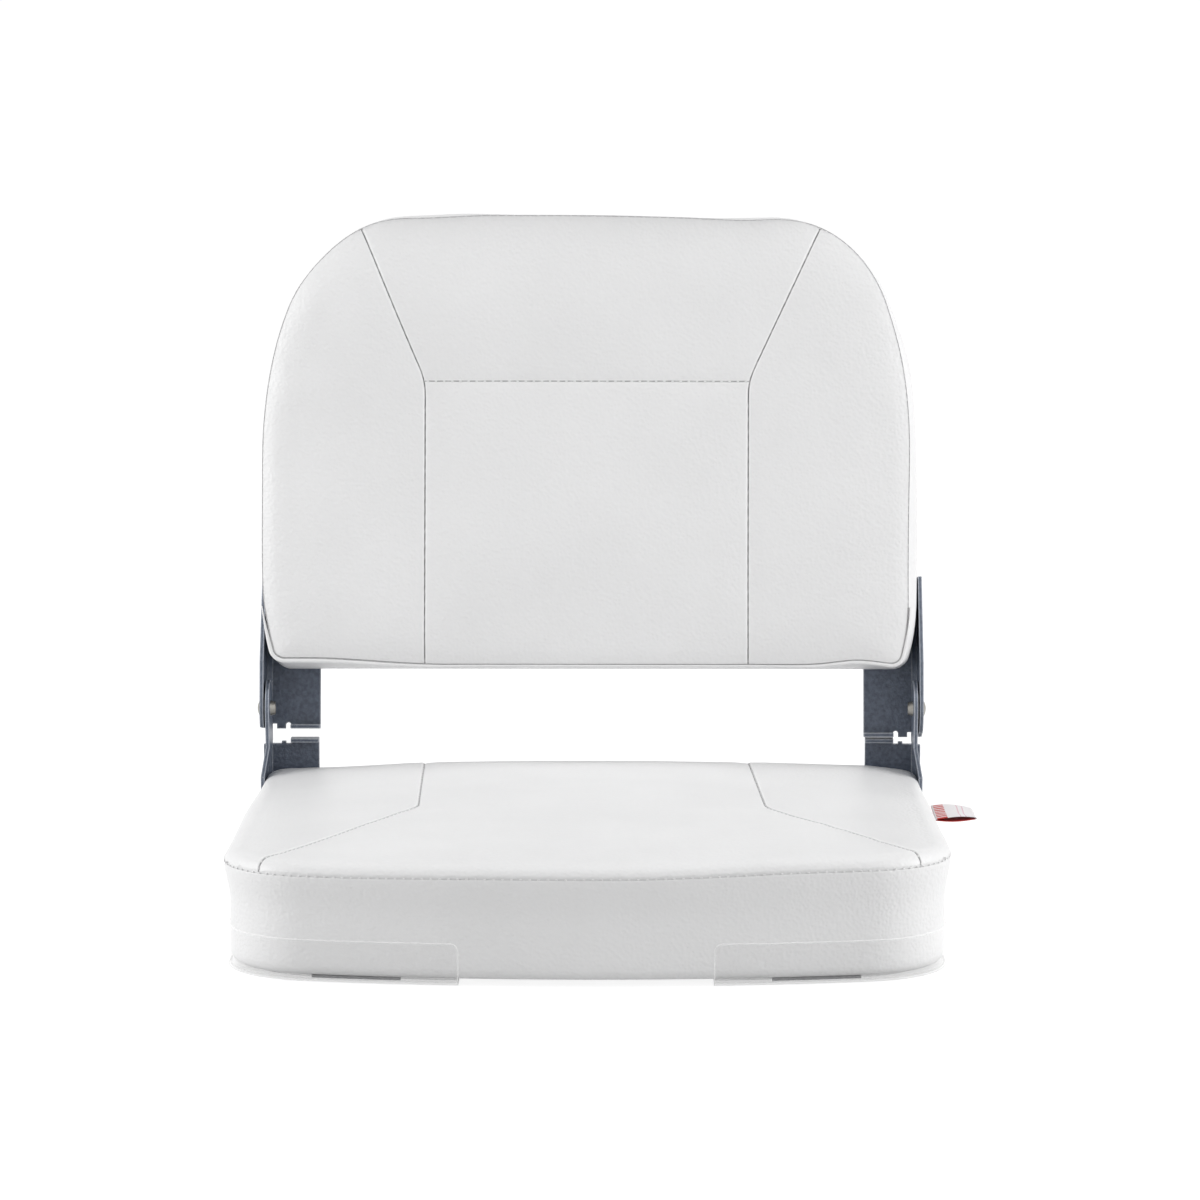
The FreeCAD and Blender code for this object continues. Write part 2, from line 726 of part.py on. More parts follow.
def make_staples():
    """Wire staples all round the hem, driven through the cover into the pan."""
    row = value("seat_draw_in + hem_round + hem_width - staple_edge")
    path = wire(seat_outline(row, row), value("hem_height"))
    count = int(path.Length / value("staple_pitch"))
    wide = value("staple_wire")
    crown = value("staple_crown")
    leg = value("staple_leg")
    bridge = Part.makeBox(crown, 2 * wide, wide, Vector(-crown / 2, -wide, -wide))
    legs = [Part.makeBox(wide, 2 * wide, leg + wide, Vector(x, -wide, -wide))
            for x in (-crown / 2, crown / 2 - wide)]
    staple = bridge.multiFuse(legs).removeSplitter()
    points = path.discretize(Number=count + 1)
    copies = []
    for here, ahead in zip(points, points[1:]):
        run = ahead - here
        turn = FreeCAD.Rotation(Z_AXIS, math.degrees(math.atan2(run.y, run.x)))
        one = staple.copy()
        one.Placement = FreeCAD.Placement((here + ahead) * 0.5, turn)
        copies.append(one)
    keep(solid_piece("seat_cover_staples", Part.makeCompound(copies)))


def make_side_tag():
    """A folded label, sewn into the right side seam and standing out as a flat loop."""
    body = new_body("side_tag")
    loop = new_sketch(body, "loop", "XZ_Plane", "-tag_centre - tag_width / 2")
    root = f"{seat_side('tag_centre - tag_width / 2')} + cover_gap"
    low = "(seat_seam_height - tag_loop)"
    high = "(seat_seam_height + tag_loop)"
    bend = f"{root} + tag_reach - tag_loop"
    end = f"{root} + tag_reach"
    seam = "seat_seam_height"
    outer = [(root, f"{seam} - tag_wall", None), (f"{root} + tag_loop", f"{seam} - tag_wall", None),
             (f"{root} + tag_reach / 2", low, None),
             (bend, low, "tag_loop"), (end, seam, "tag_loop"), (bend, high, None),
             (f"{root} + tag_reach / 2", high, None),
             (f"{root} + tag_loop", f"{seam} + tag_wall", None), (root, f"{seam} + tag_wall", None)]
    draw(loop, outer)
    inside = "(tag_loop - tag_wall)"
    slot_low = f"{seam} - {inside}"
    slot_high = f"{seam} + {inside}"
    draw(loop, [(f"{root} + 2 * tag_loop", seam, None), (f"{root} + tag_reach / 2", slot_low, None),
                (bend, slot_low, inside), (f"{bend} + {inside}", seam, inside), (bend, slot_high, None),
                (f"{root} + tag_reach / 2", slot_high, None)])
    pad(body, loop, "tag_width")
    keep(body)


# Clear corner guards

def make_guards():
    """Clear angle strips round the front corners, with a lip under the hem and a strip of tape."""
    gap = value("cover_gap")
    wall = value("guard_wall")
    inner_inset = value("seat_draw_in") - gap
    outer_inset = inner_inset - wall
    bottom = value("guard_bottom")
    lip_top = bottom + wall
    inner_end = value("seat_width / 2 - guard_front_run")
    side_end = value("guard_side_run - seat_front")
    top = value("guard_top")
    shell = prism(seat_outline(outer_inset, outer_inset), bottom, top)
    hollow = prism(seat_outline(inner_inset, inner_inset), lip_top, REACH)
    lip_inset = outer_inset + value("guard_lip")
    mouth = prism(seat_outline(lip_inset, lip_inset), -REACH, REACH)
    ring = shell.cut(hollow).cut(mouth)
    corner = Part.makeBox(REACH, REACH, REACH, Vector(inner_end, side_end - REACH, -REACH / 2))
    guard = one_solid(ring.common(corner))

    def is_free_corner(edge):
        box = edge.BoundBox
        at_end = box.XMax < inner_end + TINY or box.YMin > side_end - TINY
        return box.ZMin > top - TINY and at_end

    free_corners = [edge for edge in guard.Edges if is_free_corner(edge)]
    guard = guard.makeFillet(value("guard_corner"), free_corners)
    right = solid_piece("corner_guard_right", guard)
    keep(right, mirrored("corner_guard_left", right))

    start = value("seat_draw_in + hem_round")
    end = start + value("tape_width")
    strip = prism(seat_outline(start, start), lip_top, value("hem_height") - gap)
    strip = strip.cut(prism(seat_outline(end, end), -REACH, REACH))
    length = value("tape_length")
    tape_end = value("seat_width / 2 - tape_inset")
    span = Part.makeBox(length, REACH, REACH, Vector(tape_end - length, -REACH, -REACH / 2))
    tape = solid_piece("guard_tape_right", one_solid(strip.common(span)))
    keep(tape, mirrored("guard_tape_left", tape))


# Back cushion, its board and its cover

def make_back_board():
    body = new_body("back_board")
    face = new_sketch(body, "face", "XY_Plane", "-back_rear + vinyl + cover_gap")
    draw(face, back_outline("board_inset"))
    pad(body, face, "board_wall")
    holes = new_sketch(body, "screw_holes", "XY_Plane", "-back_rear + vinyl + cover_gap")
    for sign in ("-", ""):
        for height in BACK_SCREW_HEIGHTS:
            draw_circle(holes, f"{sign}{BACK_SCREW_X}", height, "screw_radius + thread_fit")
    pocket(body, holes, "screw_length", reverse=True)
    keep(on_back(body))


def make_back_cushion():
    vinyl = value("vinyl")
    gap = value("cover_gap")
    under = vinyl + gap
    seam = value("back_seam")
    board_face = -value("back_rear") + under + value("board_wall")

    foam = loft(back_side_wires(under) + back_crown_wires(under))
    hollow = prism(back_outline(value("board_inset") - gap), -REACH, board_face + gap)
    keep(on_back(solid_piece("back_foam", one_solid(foam.cut(hollow)))))

    inside = loft(back_side_wires(vinyl) + back_crown_wires(vinyl))
    shell = loft(back_side_wires(0)).cut(inside)
    rear_face = -value("back_rear") + vinyl
    behind = Part.makeBox(2 * REACH, 2 * REACH, REACH, Vector(-REACH, -REACH, rear_face - REACH))
    rear = shell.common(behind)
    hole_radius = value("screw_radius + thread_fit")
    hole_start = rear_face - 2 * vinyl
    hole_depth = rear_face + vinyl - hole_start
    for sign in (-1, 1):
        for height in BACK_SCREW_HEIGHTS:
            spot = Vector(sign * value(BACK_SCREW_X), value(height), hole_start)
            rear = rear.cut(Part.makeCylinder(hole_radius, hole_depth, spot))
    keep(on_back(solid_piece("back_cover_rear", one_solid(rear))))
    keep(on_back(solid_piece("back_cover_boxing", one_solid(shell.cut(behind)))))

    crown = loft([wire(back_outline("back_seam_inset"), seam)] + back_crown_wires(0))
    front = crown.cut(inside)
    sunk = crown.copy()
    sunk.translate(Vector(0, 0, -value("channel_depth")))
    top_line = seam + 2 * value("back_crown")
    left_line = back_seam_line(-1)
    right_line = back_seam_line(1)
    shelf_line = [left_line[1], right_line[1]]
    for line in (left_line, right_line, shelf_line):
        groove = ribbon(line, value("channel_width"), seam, top_line)
        front = front.cut(groove.cut(sunk))
    panels = {}
    for side, line in ((-1, left_line), (1, right_line)):
        outer = [(side * REACH, line[-1][1]), (side * REACH, -REACH)]
        panels[side] = polygon_prism(line + outer, 0, 2 * top_line)
    above = polygon_prism([left_line[1], right_line[1], right_line[2], left_line[2]], 0, 2 * top_line)
    middle = front.cut(panels[-1]).cut(panels[1])
    keep(on_back(solid_piece("back_cover_left", one_solid(front.common(panels[-1])))))
    keep(on_back(solid_piece("back_cover_right", one_solid(front.common(panels[1])))))
    keep(on_back(solid_piece("back_cover_top", one_solid(middle.common(above)))))
    keep(on_back(solid_piece("back_cover_centre", one_solid(middle.cut(above)))))


def make_back_welt():
    """Piping along the bottom front edge of the back and up round its corners."""
    radius = value("welt_radius")
    slope = value("back_seam_inset / back_seam")
    height = value("back_seam") - radius
    inset = slope * height - radius - value("cover_gap") * 2
    points = numbers(back_outline(inset))
    lift = Vector(0, 0, height)
    climb = Vector(0, value("back_bottom_corner"), 0)
    left_end, low_left, low_right, right_end = (points[index][0] + lift for index in (9, 0, 1, 2))
    curve = points[1][1]
    edges = [Part.LineSegment(left_end + climb, left_end).toShape(),
             arc_edge(left_end, low_left, curve).toShape(),
             Part.LineSegment(low_left, low_right).toShape(),
             arc_edge(low_right, right_end, curve).toShape(),
             Part.LineSegment(right_end, right_end + climb).toShape()]
    section = Part.Wire([Part.Circle(left_end + climb, Y_AXIS, radius).toShape()])
    tube = Part.Wire(edges).makePipeShell([section], True, False)
    keep(on_back(solid_piece("back_welt", tube)))


# Hinges

def make_lower_hinge():
    """The seat's bracket: an angle behind the rear corner, stepped in to an ear at the pivot."""
    body = new_body("lower_hinge_right")
    bend_outer = "(bend_radius + plate)"
    front = f"({FLANGE_REAR_Y} - lower_plate_depth)"
    rear_edge = f"({FLANGE_REAR_Y} - {bend_outer})"
    ear_top = f"({PIVOT_Z} + ear_radius)"
    ear_front = f"({PIVOT_Y} - ear_radius)"
    stepped = new_sketch(body, "ear", "XZ_Plane", f"-{rear_edge}")
    draw(stepped, [(UPPER_INNER, LOWER_PLATE_TOP, None), (UPPER_OUTER, LOWER_PLATE_TOP, None),
                   (EAR_OUTER, JOGGLE_TOP, None), (EAR_OUTER, ear_top, None),
                   (EAR_INNER, ear_top, None), (EAR_INNER, JOGGLE_TOP, None)])
    pad(body, stepped, f"{rear_edge} - {ear_front} + plate")

    trim = new_sketch(body, "ear_trim", "YZ_Plane", f"{EAR_INNER} - plate")
    beyond = "(ear_radius + plate)"
    below = f"({LOWER_PLATE_TOP} - plate)"
    draw(trim, rectangle(f"{ear_front} - {beyond}", f"{below} - plate", f"{rear_edge} + {beyond}",
                         f"{ear_top} + {beyond}"))
    draw(trim, [(front, below, None), (rear_edge, below, None), (rear_edge, JOGGLE_TOP, None),
                (f"{PIVOT_Y} + ear_radius", PIVOT_Z, "ear_radius"), (PIVOT_Y, ear_top, "ear_radius"),
                (ear_front, PIVOT_Z, None)])
    pocket(body, trim, f"{UPPER_OUTER} - {EAR_INNER} + 2 * plate", reverse=True)

    angle = new_sketch(body, "angle", "XY_Plane", "lower_plate_bottom")
    draw(angle, [(SEAT_FLANGE_END, FLANGE_Y, None), (f"{UPPER_INNER} - bend_radius", FLANGE_Y, None),
                 (UPPER_INNER, f"{FLANGE_Y} - bend_radius", None), (UPPER_INNER, front, None),
                 (UPPER_OUTER, front, None), (UPPER_OUTER, rear_edge, bend_outer),
                 (f"{UPPER_OUTER} - {bend_outer}", FLANGE_REAR_Y, None),
                 (SEAT_FLANGE_END, FLANGE_REAR_Y, None)])
    pad(body, angle, f"{LOWER_PLATE_TOP} - lower_plate_bottom")
    notch_low = f"({STOP_Z} - notch_depth)"
    bend = new_sketch(body, "bend", "XY_Plane", LOWER_PLATE_TOP)
    draw(bend, [(SEAT_FLANGE_END, FLANGE_Y, None), (f"{UPPER_INNER} - bend_radius", FLANGE_Y, None),
                (UPPER_INNER, rear_edge, None), (UPPER_OUTER, rear_edge, bend_outer),
                (f"{UPPER_OUTER} - {bend_outer}", FLANGE_REAR_Y, None),
                (SEAT_FLANGE_END, FLANGE_REAR_Y, None)])
    pad(body, bend, f"{notch_low} - {LOWER_PLATE_TOP}")

    tab = new_sketch(body, "tab", "XZ_Plane", f"-{FLANGE_REAR_Y}")
    side_top = f"({STOP_Z} - plate)"
    draw(tab, [(SEAT_FLANGE_END, LOWER_PLATE_TOP, None), (TAB_END, LOWER_PLATE_TOP, None),
               (TAB_END, side_top, None), (NOTCH_END, side_top, None), (NOTCH_END, notch_low, None),
               (NOTCH_START, notch_low, None), (NOTCH_START, STOP_Z, None), (SEAT_FLANGE_END, STOP_Z, None)])
    pad(body, tab, "plate")
    lip = new_sketch(body, "lip", "XY_Plane", side_top)
    draw(lip, rectangle(SEAT_FLANGE_END, f"{FLANGE_REAR_Y} - lip_depth", NOTCH_START, FLANGE_REAR_Y))
    pad(body, lip, "plate")

    bore = new_sketch(body, "rivet_hole", "YZ_Plane", f"{EAR_INNER} - plate")
    draw_circle(bore, PIVOT_Y, PIVOT_Z, "rivet_radius + insert_fit")
    pocket(body, bore, THROUGH_PLATE, reverse=True)
    holes = new_sketch(body, "screw_holes", "XZ_Plane", f"-({FLANGE_REAR_Y} + plate)")
    for height in SEAT_SCREW_HEIGHTS:
        draw_circle(holes, SEAT_SCREW_X, height, "screw_radius + screw_clearance")
    pocket(body, holes, THROUGH_PLATE, reverse=True)
    keep(body, mirrored("lower_hinge_left", body))


def make_upper_hinge(label, stop_gap):
    """The back's bracket: a side plate with a round end at the pivot, and a flange behind."""
    body = new_body(label)
    bend_outer = "(bend_radius + plate)"
    lean_cos = "cos(back_lean * 1 deg)"
    lean_sin = "sin(back_lean * 1 deg)"
    low = f"(({stop_gap} - stop_drop + {UPPER_FLANGE_REAR} * {lean_sin}) / {lean_cos})"
    front = "upper_end_radius"
    angle = new_sketch(body, "angle", "XZ_Plane", f"-{low}")
    draw(angle, [(BACK_FLANGE_END, f"-{UPPER_FLANGE_REAR}", None),
                 (f"{UPPER_OUTER} - {bend_outer}", f"-{UPPER_FLANGE_REAR}", bend_outer),
                 (UPPER_OUTER, f"-{UPPER_FLANGE_REAR} + {bend_outer}", None), (UPPER_OUTER, front, None),
                 (UPPER_INNER, front, None), (UPPER_INNER, f"-{UPPER_FLANGE} + bend_radius", None),
                 (f"{UPPER_INNER} - bend_radius", f"-{UPPER_FLANGE}", None),
                 (BACK_FLANGE_END, f"-{UPPER_FLANGE}", None)])
    pad(body, angle, f"upper_plate_top - {low}", reverse=True)

    trim = new_sketch(body, "trim", "YZ_Plane", f"{BACK_FLANGE_END} - plate")
    beyond = "2 * ear_radius"
    behind = f"-{UPPER_FLANGE_REAR} - plate"
    draw(trim, rectangle(f"{low} - {beyond}", f"{behind} - plate", f"upper_plate_top + {beyond}",
                         f"{front} + {beyond}"))
    draw(trim, [(f"{low} - plate", behind, None), ("upper_plate_top + plate", behind, None),
                ("upper_plate_top + plate", f"-{UPPER_FLANGE_REAR} + upper_plate_top_depth", None),
                ("upper_plate_shoulder", front, None), ("0", front, front), (f"-{front}", "0", None),
                (f"{low} - plate", f"-{UPPER_FLANGE_REAR} + lip_depth", None)])
    pocket(body, trim, f"{UPPER_OUTER} - {BACK_FLANGE_END} + 2 * plate", reverse=True)

    notch = new_sketch(body, "notch", "XY_Plane", f"-{UPPER_FLANGE_REAR} - plate")
    round_base = f"({low} + notch_depth - notch_width / 2)"
    below = f"({low} - plate)"
    draw(notch, [(NOTCH_START, below, None), (NOTCH_END, below, None),
                 (NOTCH_END, round_base, "notch_width / 2"),
                 (f"{NOTCH_END} - notch_width / 2", f"{low} + notch_depth", "notch_width / 2"),
                 (NOTCH_START, round_base, None)])
    relief = f"({UPPER_INNER} - relief_inset)"
    draw(notch, rectangle(relief, below, f"{UPPER_OUTER} + plate", f"{low} + notch_width"))
    pocket(body, notch, f"{THROUGH_PLATE} + 2 * plate", reverse=True)
    lip = new_sketch(body, "lip", "XY_Plane", f"-{UPPER_FLANGE_REAR}")
    draw(lip, rectangle(BACK_FLANGE_END, low, NOTCH_START, f"{low} + plate"))
    pad(body, lip, "lip_depth")

    bore = new_sketch(body, "rivet_hole", "YZ_Plane", f"{UPPER_INNER} - plate")
    draw_circle(bore, "0", "0", "rivet_radius + running_fit")
    pocket(body, bore, THROUGH_PLATE, reverse=True)
    holes = new_sketch(body, "screw_holes", "XY_Plane", f"-{UPPER_FLANGE_REAR} - plate")
    for height in BACK_SCREW_HEIGHTS:
        draw_circle(holes, BACK_SCREW_X, height, "screw_radius + screw_clearance")
    pocket(body, holes, THROUGH_PLATE, reverse=True)
    return on_back(body)


def make_pivot():
    """The rivet and the washer between the hinge's two plates."""
    rivet = new_body("pivot_rivet_right")
    half = new_sketch(rivet, "half", "XZ_Plane", f"-{PIVOT_Y}")
    half.setExpression("AttachmentOffset.Base.y", bind(PIVOT_Z))
    face = f"({UPPER_OUTER} + hinge_gap)"
    tail = f"({EAR_INNER} - rivet_tail)"
    head_radius = "((rivet_head^2 + rivet_dome^2) / (2 * rivet_dome))"
    draw(half, [(f"{tail} + rivet_dimple", "0", None), (f"{face} + rivet_dome", "0", head_radius),
                (face, "rivet_head", None), (face, "rivet_radius", None),
                (EAR_INNER, "rivet_radius", None), (EAR_INNER, "rivet_head - rivet_dome / 2", None),
                (tail, "rivet_radius", None), (tail, "rivet_radius / 2", None)])
    revolve(rivet, half, "H_Axis")
    keep(rivet, mirrored("pivot_rivet_left", rivet))

    washer = new_body("pivot_washer_right")
    ring = new_sketch(washer, "ring", "YZ_Plane", EAR_OUTER)
    draw_circle(ring, PIVOT_Y, PIVOT_Z, "washer_radius")
    draw_circle(ring, PIVOT_Y, PIVOT_Z, "rivet_radius + running_fit")
    pad(washer, ring, "washer_wall")
    keep(washer, mirrored("pivot_washer_left", washer))


def draw_screw(sketch):
    """Half of a round headed screw, with its head's underside at the sketch's origin."""
    head_radius = "((screw_head^2 + screw_dome^2) / (2 * screw_dome))"
    draw(sketch, [("0", "-screw_length", None), ("screw_radius / 2", "-screw_length", None),
                  ("screw_radius", "-screw_length + screw_radius", None), ("screw_radius", "0", None),
                  ("screw_head", "0", head_radius), ("0", "screw_dome", None)])


def make_screws():
    back = new_body("back_hinge_screws_right")
    half = new_sketch(back, "half", "XZ_Plane", "-back_screw_low")
    half.setExpression("AttachmentOffset.Base.x", bind(BACK_SCREW_X))
    half.setExpression("AttachmentOffset.Base.y", bind(f"-{UPPER_FLANGE_REAR}"))
    half.AttachmentOffset.Rotation = FreeCAD.Rotation(Z_AXIS, 180)
    draw_screw(half)
    turned = revolve(back, half, "V_Axis")
    repeat(back, turned, "Y_Axis", "back_screw_pitch", 2)
    on_back(back)
    keep(back, mirrored("back_hinge_screws_left", back))

    seat = new_body("seat_hinge_screws_right")
    half = new_sketch(seat, "half", "XY_Plane", "seat_screw_low")
    half.setExpression("AttachmentOffset.Base.x", bind(SEAT_SCREW_X))
    half.setExpression("AttachmentOffset.Base.y", bind(FLANGE_REAR_Y))
    draw_screw(half)
    turned = revolve(seat, half, "V_Axis")
    repeat(seat, turned, "Z_Axis", "seat_screw_pitch", 2)
    keep(seat, mirrored("seat_hinge_screws_left", seat))


def check_document():
    """Stop if any object failed, or any sub-part is missing or broken."""
    for item in doc.Objects:
        if "Invalid" in item.State or "Error" in item.State:
            raise RuntimeError(f"{item.Name} failed: {item.State}")
    for piece in parts:
        shape = piece.Shape
        if shape.isNull() or not shape.isValid() or not shape.Solids:
            raise RuntimeError(f"{piece.Label} has no valid solid")


def write_parts():
    os.makedirs("parts", exist_ok=True)
    for piece in parts:
        piece.Shape.exportStep(f"parts/{piece.Label}.step")


make_seat_pan()
make_mount_nuts()
make_seat_cushion()
make_staples()
make_side_tag()
make_guards()
make_back_board()
make_back_cushion()
make_back_welt()
make_lower_hinge()
right_hinge = make_upper_hinge("upper_hinge_right", "stop_gap_right")
left_pattern = make_upper_hinge("upper_hinge_left_pattern", "stop_gap_left")
keep(right_hinge, mirrored("upper_hinge_left", left_pattern))
make_pivot()
make_screws()
doc.recompute()
check_document()
write_parts()
for piece in parts:
    box = piece.Shape.BoundBox
    print(f"{piece.Label}: {len(piece.Shape.Solids)} solid, {piece.Shape.Volume:.0f} mm3,"
          f" x {box.XMin:.1f} {box.XMax:.1f} y {box.YMin:.1f} {box.YMax:.1f} z {box.ZMin:.1f} {box.ZMax:.1f}")
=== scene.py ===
import json
import math

import bpy
import numpy as np
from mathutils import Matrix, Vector, noise
from mathutils.bvhtree import BVHTree
from mathutils.kdtree import KDTree


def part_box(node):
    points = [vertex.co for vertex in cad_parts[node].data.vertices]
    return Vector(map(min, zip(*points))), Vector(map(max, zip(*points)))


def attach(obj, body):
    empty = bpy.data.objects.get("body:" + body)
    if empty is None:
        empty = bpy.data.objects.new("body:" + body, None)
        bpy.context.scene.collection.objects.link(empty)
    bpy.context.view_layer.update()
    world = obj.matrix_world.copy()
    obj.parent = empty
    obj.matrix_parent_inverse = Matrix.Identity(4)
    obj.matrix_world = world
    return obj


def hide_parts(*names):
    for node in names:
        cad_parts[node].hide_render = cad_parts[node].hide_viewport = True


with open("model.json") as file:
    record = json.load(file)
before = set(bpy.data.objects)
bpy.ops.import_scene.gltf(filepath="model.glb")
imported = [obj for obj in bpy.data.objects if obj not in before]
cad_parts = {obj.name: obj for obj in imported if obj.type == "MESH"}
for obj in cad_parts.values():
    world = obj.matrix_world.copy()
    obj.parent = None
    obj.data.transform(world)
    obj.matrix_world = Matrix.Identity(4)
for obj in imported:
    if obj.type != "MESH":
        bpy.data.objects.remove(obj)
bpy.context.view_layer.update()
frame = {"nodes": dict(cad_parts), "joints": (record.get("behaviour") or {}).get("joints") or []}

SIDES = (-1, 1)

# Seat cushion, in metres: across, from front to rear, and up
SEAT_HALF = 0.2145
SEAT_TAPER = 0.0035
SEAT_FRONT = -0.205
SEAT_REAR = 0.200
SEAT_BOW = 0.850
SEAT_BOW_Y = SEAT_FRONT + SEAT_BOW
SEAT_FRONT_CORNER = 0.060
SEAT_REAR_CORNER = 0.012
SEAT_SEAM_Z = 0.0645
SEAT_CROWN = 0.0075
SEAT_LOW = 0.0042
SEAT_DRAW_IN = 0.0035
SEAT_DRAWN_Z = 0.0405
SEAT_FOAM_Z = 0.02405
SEAT_SEAM_TUCK = 0.0008
SEAT_SEAM_SINK = 0.0004
SEAT_ROLL = 0.0045
SEAT_FRONT_ROLL = 0.0040
SEAT_ROLL_REACH = 0.010
SEAT_STITCH_INSET = 0.0003
# Without a unit: how much sooner the rear middle rises, the bend of the roll, and a seed of noise
SEAT_EASE_CUT = 0.055
SEAT_ROLL_BEND = 0.5
SEAT_SEED = 2.0
# How far the settled seat rides up or hangs at its front and its rear
SEAT_FRONT_LIFT = 0.0027
SEAT_FRONT_DIP = 0.0009
SEAT_REAR_LIFT = 0.0006
SEAT_REAR_SAG = 0.0026
SEAT_SAG_HALF = 0.19
SEAT_CORNER_DROP = 0.0018
# Where each slope begins and the length over which it rises
SEAT_FRONT_SLOPE = (0.0, 0.12)
SEAT_REAR_SLOPE = (0.02, 0.14)
SEAT_RIGHT_SLOPE = (0.02, 0.12)
SEAT_LEFT_SLOPE = (0.05, 0.10)
SEAT_RIGHT_CORNER_SLOPE = (0.175, 0.03)
SEAT_LEFT_CORNER_SLOPE = (0.10, 0.07)
SEAT_MIDDLE_SLOPE = (0.0, 0.12)
SEAT_ROLL_SLOPE = (0.10, 0.07)
# Depths below the seam of the rows that round its side
SEAT_SIDE_DROPS = (0.0004, 0.0012, 0.003, 0.0065, 0.0125, 0.0185)
# The cover's hem, turned under
HEM_ROLL = 0.0065
HEM_REACH = 0.0285
COVER_THICK = 0.00115
# How far along the rim a side panel's front and rear corners are from its seam
SEAT_CORNER_RUNS = (0.046, 0.098)
# Front end, kink and rear end of the seam on each side
SEAT_SEAMS = {
    -1: ((-0.1916, -0.1780), (-0.1056, 0.0080), (-0.1091, 0.2000)),
    1: ((0.1928, -0.1720), (0.1089, 0.0060), (0.1016, 0.2000)),
}

# Back cushion, in metres, in its own plane: across, up from the hinge line, and out towards the sitter
BACK_LEAN = math.radians(10)
BACK_HALF = 0.210
BACK_LOW = 0.0262
BACK_LOW_CORNER = 0.009
BACK_FOOT_ARC = 0.150
BACK_FOOT_TURN = math.radians(15)
BACK_SIDE_TOP = 0.160
BACK_SIDE_ARC = 0.330
BACK_TOP_CORNER = 0.082
BACK_TOP_CORNER_AT = (0.11597, 0.2363)
BACK_TOP = BACK_TOP_CORNER_AT[1] + BACK_TOP_CORNER
BACK_SEAM_W = 0.024
BACK_REAR_W = -0.0259
BACK_REAR_EDGE = 0.0045
BACK_CROWN = 0.0055
BACK_FRONT_INSET = 0.0016
BACK_FRONT_SHIFT = -0.0034
BACK_SEAM_SINK = 0.0014
BACK_SHELF = 0.2099
BACK_ROLL = 0.0038
BACK_ROLL_SKEW = 0.0020
BACK_ROLL_REACH = 0.019
BACK_SKEW_REACH = 0.05
BACK_CREASE = 0.0009
BACK_CREASE_SIZE = 0.042
BACK_CREASE_MARGIN = 0.012
# Without a unit: the bend of the roll and its share at the foot, the creases' slant, and seeds of noise
BACK_ROLL_BEND = 1.0
BACK_FOOT_ROLL = 0.4
BACK_CREASE_SLANT = np.array([[0.6, 1.4], [-0.8, 1.1]])
BACK_CREASE_SEED = 11.0
BACK_SEED = 7.0
# How the edge at the back's foot is drawn up
BACK_FOOT_LIFT = 0.0042
BACK_FOOT_FADE = 0.02
BACK_FOOT_FADE_FROM = 0.028
BACK_PUCKER = 0.0030
BACK_PUCKER_X = 0.172
BACK_PUCKER_REACH = 0.020
# Where each slope begins and the length over which it rises
BACK_FOOT_SLOPE = (0.093, 0.090)
BACK_FOOT_ROLL_SLOPE = (0.028, 0.04)
BACK_FRONT_SLOPE = (-0.003, 0.023)
BACK_SEAM_SLOPE = (0.012, 0.012)
BACK_TOP_SLOPE = (0.255, 0.045)
BACK_LIP_SLOPE = (0.06, 0.05)
BACK_CREASE_LEFT_SLOPE = (0.04, 0.08)
BACK_CREASE_UP_SLOPE = (0.17, 0.08)
# The side's rows: depths behind the front seam, their tuck, the level behind them and the rear's border
BACK_SIDE_DROPS = (-0.0001, 0.0008, 0.003, 0.008, 0.015)
BACK_SIDE_TUCK = 0.0010
BACK_SIDE_W = 0.004
BACK_REAR_BORDER = 0.020
# The front seam's stitches: depth below it and lowest place
BACK_STITCH_SINK = 0.0006
BACK_STITCH_LOW = 0.06
# The lip along the back's top seam
BACK_LIP_FORWARD = 0.0065
BACK_LIP_DROP = 0.0022
BACK_LIP_DEPTH = 0.0055
# How far along the rim a side panel's low and top corners are from its seam
BACK_CORNER_RUNS = (0.088, 0.060)
# Low end, kink and top end of the seam on each side
BACK_SEAMS = {
    -1: ((-0.1037, 0.0278), (-0.1037, BACK_SHELF), (-0.1471, 0.3105)),
    1: ((0.1043, 0.0278), (0.1043, BACK_SHELF), (0.1504, 0.3090)),
}
# Place, reach and pull of the spots where the face and the boxing sit out of true
FACE_PULLS = (
    ((-0.180, 0.297), 0.042, (0.0032, -0.0030)),
    ((0.150, 0.312), 0.035, (0.0004, 0.0010)),
    ((0.085, 0.318), 0.055, (0.0, -0.0018)),
    ((0.206, 0.225), 0.035, (0.0008, 0.0)),
    ((0.208, 0.085), 0.075, (-0.0016, 0.0)),
    ((-0.206, 0.040), 0.030, (0.0030, 0.0)),
)
BOXING_PULLS = (
    ((0.206, 0.225), 0.035, (0.0044, 0.0)),
    ((0.208, 0.110), 0.080, (0.0054, 0.0)),
    ((0.204, 0.034), 0.028, (0.0020, 0.0)),
    ((-0.080, 0.318), 0.032, (0.0, 0.0019)),
)
PIVOT = np.array(frame["joints"][0]["pos_m"])
UP = np.array([0.0, math.sin(BACK_LEAN), math.cos(BACK_LEAN)])
OUT = np.array([0.0, -math.cos(BACK_LEAN), math.sin(BACK_LEAN)])

# Piping along the back's lower rim, in metres, shares and counts
PIPING_SPAN = 0.240
PIPING_RADIUS = 0.0010
PIPING_CORNER_RADIUS = 0.0006
PIPING_OUT = 0.0011
PIPING_CORNER_OUT = 0.0009
PIPING_SINK = 0.0010
PIPING_DEPTH = 0.0016
PIPING_RIGHT_SHARE = 0.6
PIPING_END_SHARE = 0.3
PIPING_LEFT_SLOPE = (0.06, 0.09)
PIPING_RIGHT_SLOPE = (0.10, 0.06)
PIPING_END_SLOPE = (0.0, 0.03)
# Where round the piping its painted shade begins and how far it spreads
PIPING_SEAM_SLOPE = (0.55, 0.3)
PIPING_STEPS = 361
PIPING_SIDES = 16

